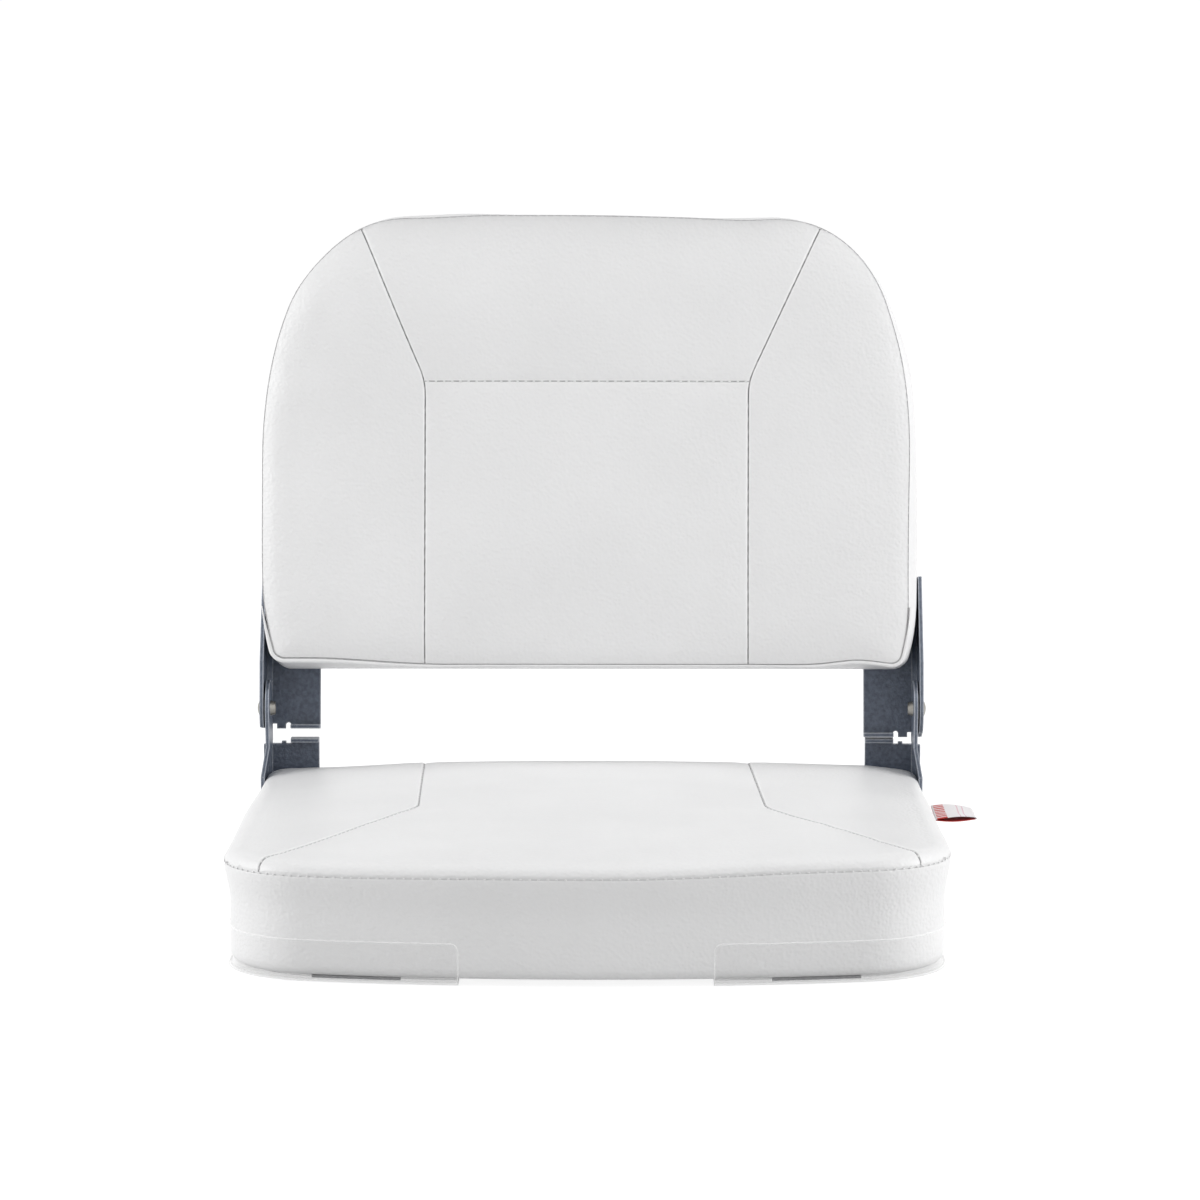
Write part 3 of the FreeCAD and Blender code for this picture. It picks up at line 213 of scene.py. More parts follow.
# Side tag, in metres, shares and counts
TAG_TIP_ROOM = 0.0006
TAG_GAP = 0.0003
TAG_BELLY = 0.0012
TAG_LOWER_BELLY = 0.9
TAG_WAVE = 0.0009
TAG_LOWER_WAVE = 0.6
TAG_TURN_ACROSS = 9
TAG_TURN_OUT = 2.0
TAG_DROOP = 0.0010
TAG_SKEW = 0.0010
TAG_THICK = 0.0003
TAG_STEPS_OUT = 25
TAG_STEPS_ACROSS = 40

# Top of the clear guards' lower lip, below which they carry painted shade, in metres
GUARD_LIP_Z = 0.0036

# Sewing, in metres, shares and counts
LEAST_CORNER = 0.002
FINE_STEPS = np.array([0.10, 0.30, 0.75, 1.5, 2.6, 4.2, 6.5, 9.5, 13.0]) * 0.001
PITCH = 0.0028
KINK_EASE = 0.009
KINK_STEPS = 40
CROWN_EASE = 0.105
LINE_STEP = 0.0006
PIECE_STEPS = 65
RIM_STEPS = 8000
GROOVE_DEPTH = 0.0014
GROOVE_WIDTH = 0.0005
VALLEY_DEPTH = 0.0006
VALLEY_WIDTH = 0.006
GATHER = 0.5
GATHER_SIZE = 0.014
LUMP_HEIGHT = 0.00035
LUMP_SIZE = 0.055
LUMP_MARGIN = 0.02
SHELF_FILL = 0.6
# Width of the painted shade along the seams
SEAM_SHADE = 0.00035
# How far out from a seam the painted highlight beside it peaks
SEAM_HIGHLIGHT_OFFSET = 0.0009
SEAM_STEP = 0.0008
SEAM_STEP_REACH = 0.005
# Strength of the painted shade on the stitched seams
STITCHED_SHADE = 0.25
STITCH_PITCH = 0.0052
STITCH_LENGTH = 0.0021
STITCH_RADIUS = 0.00045
STITCH_LIFT = 0.0009
STITCH_SIDES = 6
# Places along a stitch and the share of its radius there
STITCH_RINGS = ((0.12, 0.7), (0.35, 1.0), (0.65, 1.0), (0.88, 0.7))
SWELL_VOXEL = 0.006
SWELL_CAP = 0.0028
SWELL_STEPS = 20
SWELL_LOOK_DOWN = 0.05
SWELL_RIM_REACH = 0.014
SWELL_SEAM_REACH = 0.006
SWELL_AT_SEAM = 0.3
HELD_ABOVE_SEAM = 0.001
HELD_BORDER = 0.008
HELD_STEP = 0.002
HELD_AT_SEAM = 0.5
HELD_SEAM_REACH = 0.005

# Studio, in metres, watts and shares of white
FLOOR_HALF = 60.0
FLOOR_GLOW = 0.88
WORLD_LIGHT = 0.45
LAMP_TARGET = (0, 0, 0.2)
# Name, place, size and watts
LAMPS = (
    ("lamp_left", (-1.9, -0.35, 0.90), 1.5, 25.0),
    ("lamp_right", (1.9, -0.35, 0.90), 1.5, 26.5),
    ("lamp_top", (0.0, -0.35, 2.2), 1.8, 8.5),
)
CAMERA_SPOT = (0.028806, -3.173985, 0.607682)
CAMERA_TARGET = (0.006647, 0.0, 0.201075)
CAMERA_LENS_MM = 156.9
CAMERA_SENSOR_MM = 36.0
CAMERA_REACH = 200.0


def straight(start, end):
    start, end = np.array(start), np.array(end)
    return lambda t: start + (end - start) * t[:, None]


def round_arc(centre, radius, first, last):
    def points(t):
        angle = first + (last - first) * t
        return np.array(centre) + radius * np.column_stack([np.cos(angle), np.sin(angle)])

    return points


def with_twin(right):
    """The right half of an outline and its mirrored left half, anticlockwise from the low edge's middle."""
    return right + [lambda t, piece=piece: piece(1 - t) * (-1, 1) for piece in reversed(right)]


def seat_outline(inset=0.0, rear_inset=0.0):
    half = SEAT_HALF - inset
    rear_half = half - SEAT_TAPER
    rear = SEAT_REAR - rear_inset
    corner = SEAT_FRONT_CORNER - inset
    corner_x = half - corner
    corner_y = SEAT_BOW_Y - math.sqrt((SEAT_BOW - SEAT_FRONT_CORNER) ** 2 - corner_x ** 2)
    touch = math.atan2(corner_y - SEAT_BOW_Y, corner_x)
    rear_corner = max(SEAT_REAR_CORNER - max(inset, rear_inset), LEAST_CORNER)
    rear_at = (rear_half - rear_corner, rear - rear_corner)
    return with_twin([
        round_arc((0, SEAT_BOW_Y), SEAT_BOW - inset, -math.pi / 2, touch),
        round_arc((corner_x, corner_y), corner, touch, 0),
        straight((half, corner_y), (rear_half, rear_at[1])),
        round_arc(rear_at, rear_corner, 0, math.pi / 2),
        straight((rear_at[0], rear), (0, rear)),
    ])


def back_outline(inset=0.0):
    half = BACK_HALF - inset
    low = BACK_LOW + inset
    corner = max(BACK_LOW_CORNER - inset, LEAST_CORNER)
    foot_x = BACK_HALF - BACK_FOOT_ARC
    foot_reach = BACK_FOOT_ARC - inset - corner
    corner_at = (foot_x + foot_reach * math.cos(BACK_FOOT_TURN), low + corner)
    foot_y = corner_at[1] + foot_reach * math.sin(BACK_FOOT_TURN)
    side_at = (BACK_HALF - BACK_SIDE_ARC, BACK_SIDE_TOP)
    touch = math.atan2(BACK_TOP_CORNER_AT[1] - side_at[1], BACK_TOP_CORNER_AT[0] - side_at[0])
    top = BACK_TOP - inset
    return with_twin([
        straight((0, low), (corner_at[0], low)),
        round_arc(corner_at, corner, -math.pi / 2, -BACK_FOOT_TURN),
        round_arc((foot_x, foot_y), BACK_FOOT_ARC - inset, -BACK_FOOT_TURN, 0),
        straight((half, foot_y), (half, BACK_SIDE_TOP)),
        round_arc(side_at, BACK_SIDE_ARC - inset, 0, touch),
        round_arc(BACK_TOP_CORNER_AT, BACK_TOP_CORNER - inset, touch, math.pi / 2),
        straight((BACK_TOP_CORNER_AT[0], top), (0, top)),
    ])


def run_length(points):
    return np.concatenate([[0], np.cumsum(np.linalg.norm(np.diff(points, axis=0), axis=1))])


def share_along(points):
    lengths = run_length(points)
    return lengths / lengths[-1]


def densify(points, step):
    """The same line with its points a short step apart."""
    lengths = run_length(points)
    marks = np.linspace(0, lengths[-1], int(lengths[-1] / step) + 2)
    return np.column_stack([np.interp(marks, lengths, values) for values in points.T])


def soft_step(values):
    held = np.clip(values, 0, 1)
    return held * held * (3 - 2 * held)


def rising(values, slope):
    """How far up a slope each value is, from 0 to 1."""
    start, reach = slope
    return soft_step((values - start) / reach)


def nearest(points, targets):
    """Distance in plan from each point to the closest of the targets."""
    tree = KDTree(len(targets))
    for number, target in enumerate(targets):
        tree.insert((*target, 0), number)
    tree.balance()
    return np.array([tree.find((*point, 0))[2] for point in points])


def ripple(points, size, seed):
    """Slow unevenness, from -1 to 1."""
    return np.array([noise.noise(Vector((x / size, y / size, seed))) for x, y in points])


def level_line(flat, level):
    return np.column_stack([flat, np.full(len(flat), level)])


class Rim:
    """A closed outline, marked off by its length so that the same place is found at every inset."""

    def __init__(self, outline):
        self.outline = outline
        steps = np.linspace(0, 1, PIECE_STEPS)
        self.marks = np.concatenate([[0], np.cumsum([run_length(piece(steps))[-1] for piece in outline()])])
        self.length = self.marks[-1]

    def points(self, places, *insets):
        places = np.mod(places, self.length)
        which = np.clip(np.searchsorted(self.marks, places, side="right") - 1, 0, len(self.marks) - 2)
        found = np.empty((len(places), 2))
        for number, piece in enumerate(self.outline(*insets)):
            here = which == number
            span = self.marks[number + 1] - self.marks[number]
            found[here] = piece((places[here] - self.marks[number]) / span)
        return found

    def place(self, point):
        places = np.linspace(0, self.length, RIM_STEPS, endpoint=False)
        return places[np.argmin(np.linalg.norm(self.points(places) - point, axis=1))]


class Patchwork:
    """Sewn panels, laid out flat and joined along the lines that they share."""

    def __init__(self):
        self.points = []
        self.faces = []

    def add(self, points):
        first = len(self.points)
        self.points.extend(tuple(point) for point in points)
        return list(range(first, len(self.points)))

    def line(self, start, points, end):
        return [start] + self.add(points[1:-1]) + [end]

    def shares(self, line):
        return share_along(np.array(self.points)[line])

    def panel(self, left, right, low, high):
        """Fills the room between two lines that run up and two that run to the right."""
        plan = np.array(self.points)
        a, b, c, d = (plan[line] for line in (left, right, low, high))
        u = ((share_along(c) + share_along(d)) / 2)[None, :, None]
        v = ((share_along(a) + share_along(b)) / 2)[:, None, None]
        ruled = (1 - u) * a[:, None] + u * b[:, None] + (1 - v) * c[None] + v * d[None]
        corners = (1 - v) * ((1 - u) * c[0] + u * c[-1]) + v * ((1 - u) * d[0] + u * d[-1])
        grid = ruled - corners
        ids = np.zeros(grid.shape[:2], int)
        ids[1:-1, 1:-1] = np.reshape(self.add(grid[1:-1, 1:-1].reshape(-1, 2)), ids[1:-1, 1:-1].shape)
        ids[:, 0], ids[:, -1], ids[0], ids[-1] = left, right, low, high
        quads = np.stack([ids[:-1, :-1], ids[:-1, 1:], ids[1:, 1:], ids[1:, :-1]], axis=-1)
        self.faces.extend(quads.reshape(-1, 4).tolist())
        return ids.ravel()


class Face:
    """A cushion's face laid out flat: its points, rim and seams, and each point's distance from these."""

    def __init__(self, work, ring, places, seams, flanks):
        self.plan = np.array(work.points)
        self.quads = work.faces
        self.ring = ring
        self.places = places
        self.seams = seams
        self.on_flank = np.zeros(len(self.plan), bool)
        self.on_flank[flanks] = True
        self.on_flank[np.concatenate(seams)] = False
        self.rim_plan = self.plan[ring]
        closed_rim = np.vstack([self.rim_plan, self.rim_plan[:1]])
        self.from_rim = nearest(self.plan, densify(closed_rim, LINE_STEP))
        self.from_seam = nearest(self.plan, self.seam_points(LINE_STEP))

    def seam_points(self, step):
        return np.vstack([densify(self.plan[line], step) for line in self.seams])


def graded(length, pitch):
    """Shares of a run: fine steps beside the seams at its ends, an even pitch between them."""
    edge = FINE_STEPS[-1]
    middle = np.linspace(edge, length - edge, max(round((length - 2 * edge) / pitch), 1) + 1)
    steps = np.concatenate([[0], FINE_STEPS[:-1], middle, length - FINE_STEPS[-2::-1], [length]])
    return steps / length


def eased(start, kink, end):
    """A path through three points with its kink rounded, in two halves that meet at the kink."""
    start, kink, end = (np.array(point) for point in (start, kink, end))
    before = kink + (start - kink) * KINK_EASE / np.linalg.norm(start - kink)
    after = kink + (end - kink) * KINK_EASE / np.linalg.norm(end - kink)
    t = np.linspace(0, 1, KINK_STEPS + 1)[:, None]
    curve = (1 - t) ** 2 * before + 2 * t * (1 - t) * kink + t ** 2 * after
    middle = KINK_STEPS // 2
    return np.vstack([start, curve[:middle + 1]]), np.vstack([curve[middle:], end])


def spread(path, shares):
    along = share_along(path)
    return np.column_stack([np.interp(shares, along, values) for values in path.T])


def sew(rim, insets, seams, half, corner_runs, shelf):
    """Lays out a face of two side panels and a middle one, which a shelf seam splits in two."""
    work = Patchwork()
    places, corner, upright, halves = {}, {}, {}, {}
    for side in SIDES:
        places["low", side] = rim.place(seams[side][0])
        places["high", side] = rim.place(seams[side][2])
        places["side_low", side] = places["low", side] + side * corner_runs[0]
        places["side_high", side] = places["high", side] - side * corner_runs[1]
    for name, place in places.items():
        corner[name] = work.add(rim.points(np.array([place]), *insets))[0]
    for side in SIDES:
        low_end, high_end = (work.points[corner[name, side]] for name in ("low", "high"))
        halves[side] = eased(low_end, seams[side][1], high_end)
    lower, upper = (
        graded(np.mean([run_length(halves[side][half])[-1] for side in SIDES]), PITCH) for half in (0, 1)
    )
    whole = graded(np.mean([sum(run_length(half)[-1] for half in halves[side]) for side in SIDES]), PITCH)
    for side in SIDES:
        low_half, high_half = halves[side]
        if shelf:
            kink = work.add(low_half[-1:])[0]
            corner["kink", side] = kink
            upright["low", side] = work.line(corner["low", side], spread(low_half, lower), kink)
            upright["high", side] = work.line(kink, spread(high_half, upper), corner["high", side])
            upright["seam", side] = upright["low", side] + upright["high", side][1:]
        else:
            path = np.vstack([low_half, high_half[1:]])
            upright["seam", side] = work.line(corner["low", side], spread(path, whole), corner["high", side])
    middle = graded(seams[1][1][0] - seams[-1][1][0], PITCH)
    outer = graded(half - seams[1][1][0], PITCH)
    stretches = (
        ("low", 1, "side_low", 1, outer),
        ("side_low", 1, "side_high", 1, work.shares(upright["seam", 1])),
        ("side_high", 1, "high", 1, 1 - outer[::-1]),
        ("high", 1, "high", -1, middle),
        ("high", -1, "side_high", -1, outer),
        ("side_high", -1, "side_low", -1, 1 - work.shares(upright["seam", -1])[::-1]),
        ("side_low", -1, "low", -1, 1 - outer[::-1]),
        ("low", -1, "low", 1, middle),
    )
    ring, ring_places, lines = [], [], []
    for start, start_side, end, end_side, shares in stretches:
        first, last = places[start, start_side], places[end, end_side]
        if start == end == "low":
            first -= rim.length
        marks = first + (last - first) * shares
        lines.append(work.line(corner[start, start_side], rim.points(marks, *insets), corner[end, end_side]))
        ring.extend(lines[-1][:-1])
        ring_places.extend(marks[:-1])
    right_low, right_side, right_high, high, left_high, left_side, left_low, low = lines
    seam_lines = [upright["seam", side] for side in SIDES]
    flanks = np.concatenate([
        work.panel(upright["seam", 1], right_side, right_low, right_high[::-1]),
        work.panel(left_side[::-1], upright["seam", -1], left_low, left_high[::-1]),
    ])
    if shelf:
        ends = np.array([work.points[corner["kink", side]] for side in SIDES])
        line = work.line(corner["kink", -1], spread(ends, middle), corner["kink", 1])
        seam_lines.append(line)
        work.panel(upright["low", -1], upright["low", 1], low, line)
        work.panel(upright["high", -1], upright["high", 1], line, high[::-1])
    else:
        work.panel(upright["seam", -1], upright["seam", 1], low, high[::-1])
    return Face(work, ring, np.array(ring_places), seam_lines, flanks)


def crown(face, height, ease, roll, roll_reach, bend, seed):
    """How far the stuffed face stands above its outer seam, with the seams drawn in."""
    centre = (face.rim_plan.min(0) + face.rim_plan.max(0)) / 2
    edge, offset = face.rim_plan - centre, face.plan - centre
    turn = np.arctan2(edge[:, 1], edge[:, 0])
    order = np.argsort(turn)
    reach = np.interp(
        np.arctan2(offset[:, 1], offset[:, 0]),
        turn[order], np.linalg.norm(edge[order], axis=1), period=2 * math.pi,
    )
    share = np.clip(np.linalg.norm(offset, axis=1) / reach, 0, 1)
    rise = (height - roll) * (1 - np.exp((share - 1) / ease))
    short = 1 - np.clip(face.from_rim / roll_reach, 0, 1)
    rise += roll * (1 - short ** 2) ** bend
    rise -= GROOVE_DEPTH * np.exp(-(face.from_seam / GROOVE_WIDTH) ** 2)
    gather = 1 + GATHER * ripple(face.plan, GATHER_SIZE, seed)
    rise -= VALLEY_DEPTH * gather * np.exp(-(face.from_seam / VALLEY_WIDTH) ** 2)
    rise += LUMP_HEIGHT * ripple(face.plan, LUMP_SIZE, seed + 3) * soft_step(face.from_rim / LUMP_MARGIN)
    return rise


def mesh_object(name, points, faces, smooth=True):
    mesh = bpy.data.meshes.new(name)
    mesh.from_pydata([tuple(point) for point in points], [], faces)
    mesh.polygons.foreach_set("use_smooth", [smooth] * len(mesh.polygons))
    mesh.update()
    made = bpy.data.objects.new(name, mesh)
    bpy.context.scene.collection.objects.link(made)
    return made


def mark(piece, name, values):
    layer = piece.data.attributes.new(name, "FLOAT", "POINT")
    layer.data.foreach_set("value", np.asarray(values, np.float32))


def corners_of(mesh):
    return np.array([vertex.co for vertex in mesh.vertices])


def held_weights(face, rest, seam_level):
    """One where the cover is held, part of that along the seams, nothing on the free face."""
    inside = nearest(rest[:, :2], face.rim_plan)
    free = (rest[:, 2] > seam_level + HELD_ABOVE_SEAM) & (inside > HELD_BORDER)
    from_seam = nearest(rest[:, :2], face.seam_points(HELD_STEP))
    return np.where(free, HELD_AT_SEAM * np.exp(-(from_seam / HELD_SEAM_REACH) ** 2), 1.0)


def swell(name, points, faces, face, seam_level):
    """Blows the closed cushion up as cloth, and gives how far each point of its face rises."""
    body = mesh_object(name, points, faces)
    remesh = body.modifiers.new("even", "REMESH")
    remesh.mode = "VOXEL"
    remesh.voxel_size = SWELL_VOXEL
    bpy.context.view_layer.objects.active = body
    bpy.ops.object.modifier_apply(modifier=remesh.name)
    rest = corners_of(body.data)
    polygons = [list(polygon.vertices) for polygon in body.data.polygons]
    group = body.vertex_groups.new(name="held")
    for number, weight in enumerate(held_weights(face, rest, seam_level)):
        group.add([number], float(weight), "REPLACE")
    settings = body.modifiers.new("swell", "CLOTH").settings
    settings.quality = 5
    settings.mass = 0.3
    settings.tension_stiffness = 25
    settings.compression_stiffness = 25
    settings.shear_stiffness = 10
    settings.bending_stiffness = 2
    settings.use_pressure = True
    settings.uniform_pressure_force = 4
    settings.vertex_group_mass = "held"
    settings.effector_weights.gravity = 0
    for step in range(1, SWELL_STEPS + 1):
        bpy.context.scene.frame_set(step)
    moved = corners_of(body.evaluated_get(bpy.context.evaluated_depsgraph_get()).data) - rest
    far = np.linalg.norm(moved, axis=1, keepdims=True)
    blown = rest + moved * np.minimum(1, SWELL_CAP / np.maximum(far, 1e-9))
    bpy.context.scene.frame_set(1)
    bpy.data.objects.remove(body)
    before, after = (
        BVHTree.FromPolygons([tuple(point) for point in stage], polygons) for stage in (rest, blown)
    )
    lift = np.zeros(len(face.plan))
    down = Vector((0, 0, -1))
    for number, (x, y, z) in enumerate(points[:len(lift)]):
        above = Vector((x, y, z + SWELL_LOOK_DOWN))
        low, high = before.ray_cast(above, down)[0], after.ray_cast(above, down)[0]
        if low and high:
            lift[number] = high.z - low.z
    beside_seams = soft_step(face.from_seam / SWELL_SEAM_REACH + SWELL_AT_SEAM)
    return lift * soft_step(face.from_rim / SWELL_RIM_REACH) * beside_seams


def boxing(points, quads, ring, rows):
    """Adds the rows of points that close a cushion below its face."""
    points, faces = list(points), list(quads)
    above = list(ring)
    count = len(ring)
    for row in rows:
        first = len(points)
        points.extend(row)
        below = list(range(first, first + count))
        for number in range(count):
            after = (number + 1) % count
            faces.append([above[number], below[number], below[after], above[after]])
        above = below
    faces.append(above[::-1])
    return np.array(points), faces


def stuffed(name, face, heights, rows, seam_level, sewn_rim, stitched, settle):
    """Closes a sewn face, lets it swell, draws its outer seam in and lets the whole cushion settle."""
    points, faces = boxing(np.column_stack([face.plan, heights]), face.quads, face.ring, rows)
    count = len(face.plan)
    points[:count, 2] += swell(name + "_swell", points, faces, face, seam_level)
    points[face.ring] = sewn_rim
    # Painted shade: the vinyl is darkened along the seams, where shade falls in the grooves
    shade = np.zeros(len(points))
    shade[:count] = np.exp(-(face.from_seam / SEAM_SHADE) ** 2)
    for line in stitched:
        shade[line] = STITCHED_SHADE
    # Painted highlight: a pale line just beside each seam, stored as the lip attribute
    lip = np.zeros(len(points))
    lip[:count] = np.exp(-((face.from_seam - SEAM_HIGHLIGHT_OFFSET) / SEAM_SHADE) ** 2)
    piece = mesh_object(name, settle(points), faces)
    mark(piece, "seam", shade)
    mark(piece, "lip", lip)
    return piece, points


def stitch(path, lengths, place, lift):
    """One short thread bead on a sewn line, as rings of points."""
    reach = np.array([-1, 1]) * STITCH_LENGTH / 2 + place
    start, end = np.column_stack([np.interp(reach, lengths, values) for values in path.T])
    along = (end - start) / max(np.linalg.norm(end - start), 1e-9)
    across = np.cross(along, (0, 0, 1))
    across /= max(np.linalg.norm(across), 1e-9)
    rise = np.cross(across, along)
    points = []
    for share, size in STITCH_RINGS:
        centre = start + (end - start) * share + rise * lift
        for angle in np.arange(STITCH_SIDES) * 2 * math.pi / STITCH_SIDES:
            points.append(centre + STITCH_RADIUS * size * (math.cos(angle) * across + math.sin(angle) * rise))
    return points


def tube_faces(first, rings, sides):
    """Faces of a closed tube whose rings of points follow each other."""
    faces = []
    for ring in range(rings - 1):
        base, above = first + ring * sides, first + (ring + 1) * sides
        for side in range(sides):
            after = (side + 1) % sides
            faces.append([base + side, base + after, above + after, above + side])
    faces.append([first + side for side in reversed(range(sides))])
    faces.append([first + (rings - 1) * sides + side for side in range(sides)])
    return faces


def thread(name, rows, settle):
    points, faces = [], []
    for path, lift in rows:
        lengths = run_length(path)
        count = int(lengths[-1] / STITCH_PITCH)
        for place in (np.arange(count) + 0.5) * lengths[-1] / count:
            faces.extend(tube_faces(len(points), len(STITCH_RINGS), STITCH_SIDES))
            points.extend(stitch(path, lengths, place, lift))
    return mesh_object(name, settle(np.array(points)), faces)


def seat_settle(points):
    """The seat's front seam rides up on the right, and its rear corners hang below the middle."""
    x, y, z = points.T
    front, rear = rising(-y, SEAT_FRONT_SLOPE), rising(y, SEAT_REAR_SLOPE)
    right, left = rising(x, SEAT_RIGHT_SLOPE), rising(-x, SEAT_LEFT_SLOPE)
    lift = front * (SEAT_FRONT_LIFT * right - SEAT_FRONT_DIP * left)
    lift += rear * (SEAT_REAR_LIFT - SEAT_REAR_SAG * (x / SEAT_SAG_HALF) ** 2)
    corners = rising(-x, SEAT_LEFT_CORNER_SLOPE) + rising(x, SEAT_RIGHT_CORNER_SLOPE)
    lift -= rear * SEAT_CORNER_DROP * corners
    return np.column_stack([x, y, z + lift * soft_step((z - SEAT_DRAWN_Z) / (SEAT_SEAM_Z - SEAT_DRAWN_Z))])


def seat_side():
    """Insets at the sides and the rear, and height, from the seam down to the hem that is turned under."""
    rows = []
    for drop in (*SEAT_SIDE_DROPS, SEAT_SEAM_Z - SEAT_DRAWN_Z):
        share = drop / (SEAT_SEAM_Z - SEAT_DRAWN_Z)
        rows.append((SEAT_DRAW_IN * soft_step(share), 0.0, SEAT_SEAM_Z - drop))
    for level in np.linspace(SEAT_DRAWN_Z, SEAT_LOW + HEM_ROLL, 6)[1:]:
        rows.append((SEAT_DRAW_IN, 0.0, level))
    for angle in np.linspace(0, math.pi / 2, 6)[1:]:
        under = HEM_ROLL * (1 - math.cos(angle))
        rows.append((SEAT_DRAW_IN + under, under, SEAT_LOW + HEM_ROLL * (1 - math.sin(angle))))
    inner = SEAT_DRAW_IN + COVER_THICK
    rows.append((HEM_REACH, HEM_REACH, SEAT_LOW))
    rows.append((HEM_REACH, HEM_REACH, SEAT_LOW + COVER_THICK))
    rows.append((inner + HEM_ROLL, inner + HEM_ROLL, SEAT_LOW + COVER_THICK))
    rows.append((inner, inner, SEAT_LOW + COVER_THICK + HEM_ROLL))
    rows.append((inner, inner, SEAT_FOAM_Z))
    return rows


def seat_cushion():
    rim = Rim(seat_outline)
    face = sew(rim, (0.0, 0.0), SEAT_SEAMS, SEAT_HALF, SEAT_CORNER_RUNS, False)
    x, y = face.plan.T
    rear_middle = rising(y, SEAT_MIDDLE_SLOPE) * np.clip(1 - (x / SEAT_SAG_HALF) ** 2, 0, 1)
    roll = SEAT_ROLL + SEAT_FRONT_ROLL * rising(-y, SEAT_ROLL_SLOPE)
    ease = CROWN_EASE - SEAT_EASE_CUT * rear_middle
    heights = SEAT_SEAM_Z + crown(face, SEAT_CROWN, ease, roll, SEAT_ROLL_REACH, SEAT_ROLL_BEND, SEAT_SEED)
    heights += SEAM_STEP * face.on_flank * np.exp(-face.from_seam / SEAM_STEP_REACH)
    rows = []
    for inset, rear_inset, level in seat_side():
        rows.append(level_line(rim.points(face.places, inset, rear_inset), level))
    tucked = rim.points(face.places, SEAT_SEAM_TUCK, SEAT_SEAM_TUCK)
    sewn_rim = level_line(tucked, SEAT_SEAM_Z - SEAT_SEAM_SINK)
    piece, points = stuffed(
        "seat_cushion", face, heights, rows, SEAT_SEAM_Z, sewn_rim, [face.ring], seat_settle
    )
    edge = level_line(rim.points(face.places, SEAT_STITCH_INSET, SEAT_STITCH_INSET), SEAT_SEAM_Z)
    sewn = [(points[line], STITCH_LIFT) for line in face.seams] + [(np.vstack([edge, edge[:1]]), 0.0)]
    return piece, thread("seat_stitches", sewn, seat_settle)


def on_back(points):
    return PIVOT + points[:, :1] * (1, 0, 0) + points[:, 1:2] * UP + points[:, 2:3] * OUT


def bottom_wave(x):
    """How far the back's lower edge is drawn up."""
    pucker = BACK_PUCKER * np.exp(-((x - BACK_PUCKER_X) / BACK_PUCKER_REACH) ** 2)
    return BACK_FOOT_LIFT * rising(-x, BACK_FOOT_SLOPE) + pucker


def back_settle(points):
    """The back's front sits askew on its board, with its lower edge wavy and its top seam drawn forward."""
    x, u, w = points.T
    front = rising(w, BACK_FRONT_SLOPE)
    behind = 1 - rising(w, BACK_SEAM_SLOPE)
    shift_x = np.full(len(x), BACK_FRONT_SHIFT)
    fade = np.exp(-np.maximum(u - BACK_FOOT_FADE_FROM, 0) / BACK_FOOT_FADE)
    shift_u = bottom_wave(x + BACK_FRONT_SHIFT) * fade
    for pulls, share in ((FACE_PULLS, 1.0), (BOXING_PULLS, behind)):
        for place, reach, pull in pulls:
            near = share * np.exp(-((x - place[0]) ** 2 + (u - place[1]) ** 2) / reach ** 2)
            shift_x += near * pull[0]
            shift_u += near * pull[1]
    top = np.exp((u - BACK_TOP) / BACK_LIP_DEPTH)
    drop = BACK_LIP_DROP * rising(np.abs(x), BACK_LIP_SLOPE) * top * (1 - behind)
    forward = BACK_LIP_FORWARD * top * front
    return on_back(np.column_stack([x + shift_x * front, u + shift_u * front - drop, w + forward]))


def back_side():
    """Inset and depth from the front seam back to the rear panel and its rounded edge."""
    rows = []
    for drop in BACK_SIDE_DROPS:
        rows.append((BACK_SIDE_TUCK * (1 - soft_step(drop / BACK_SIDE_DROPS[-1])), BACK_SEAM_W - drop))
    for level in np.linspace(BACK_SIDE_W, BACK_REAR_W + BACK_REAR_EDGE, 4):
        rows.append((0.0, level))
    for angle in np.linspace(0, math.pi / 2, 5)[1:]:
        level = BACK_REAR_W + BACK_REAR_EDGE * (1 - math.sin(angle))
        rows.append((BACK_REAR_EDGE * (1 - math.cos(angle)), level))
    rows.append((BACK_REAR_BORDER, BACK_REAR_W))
    return rows


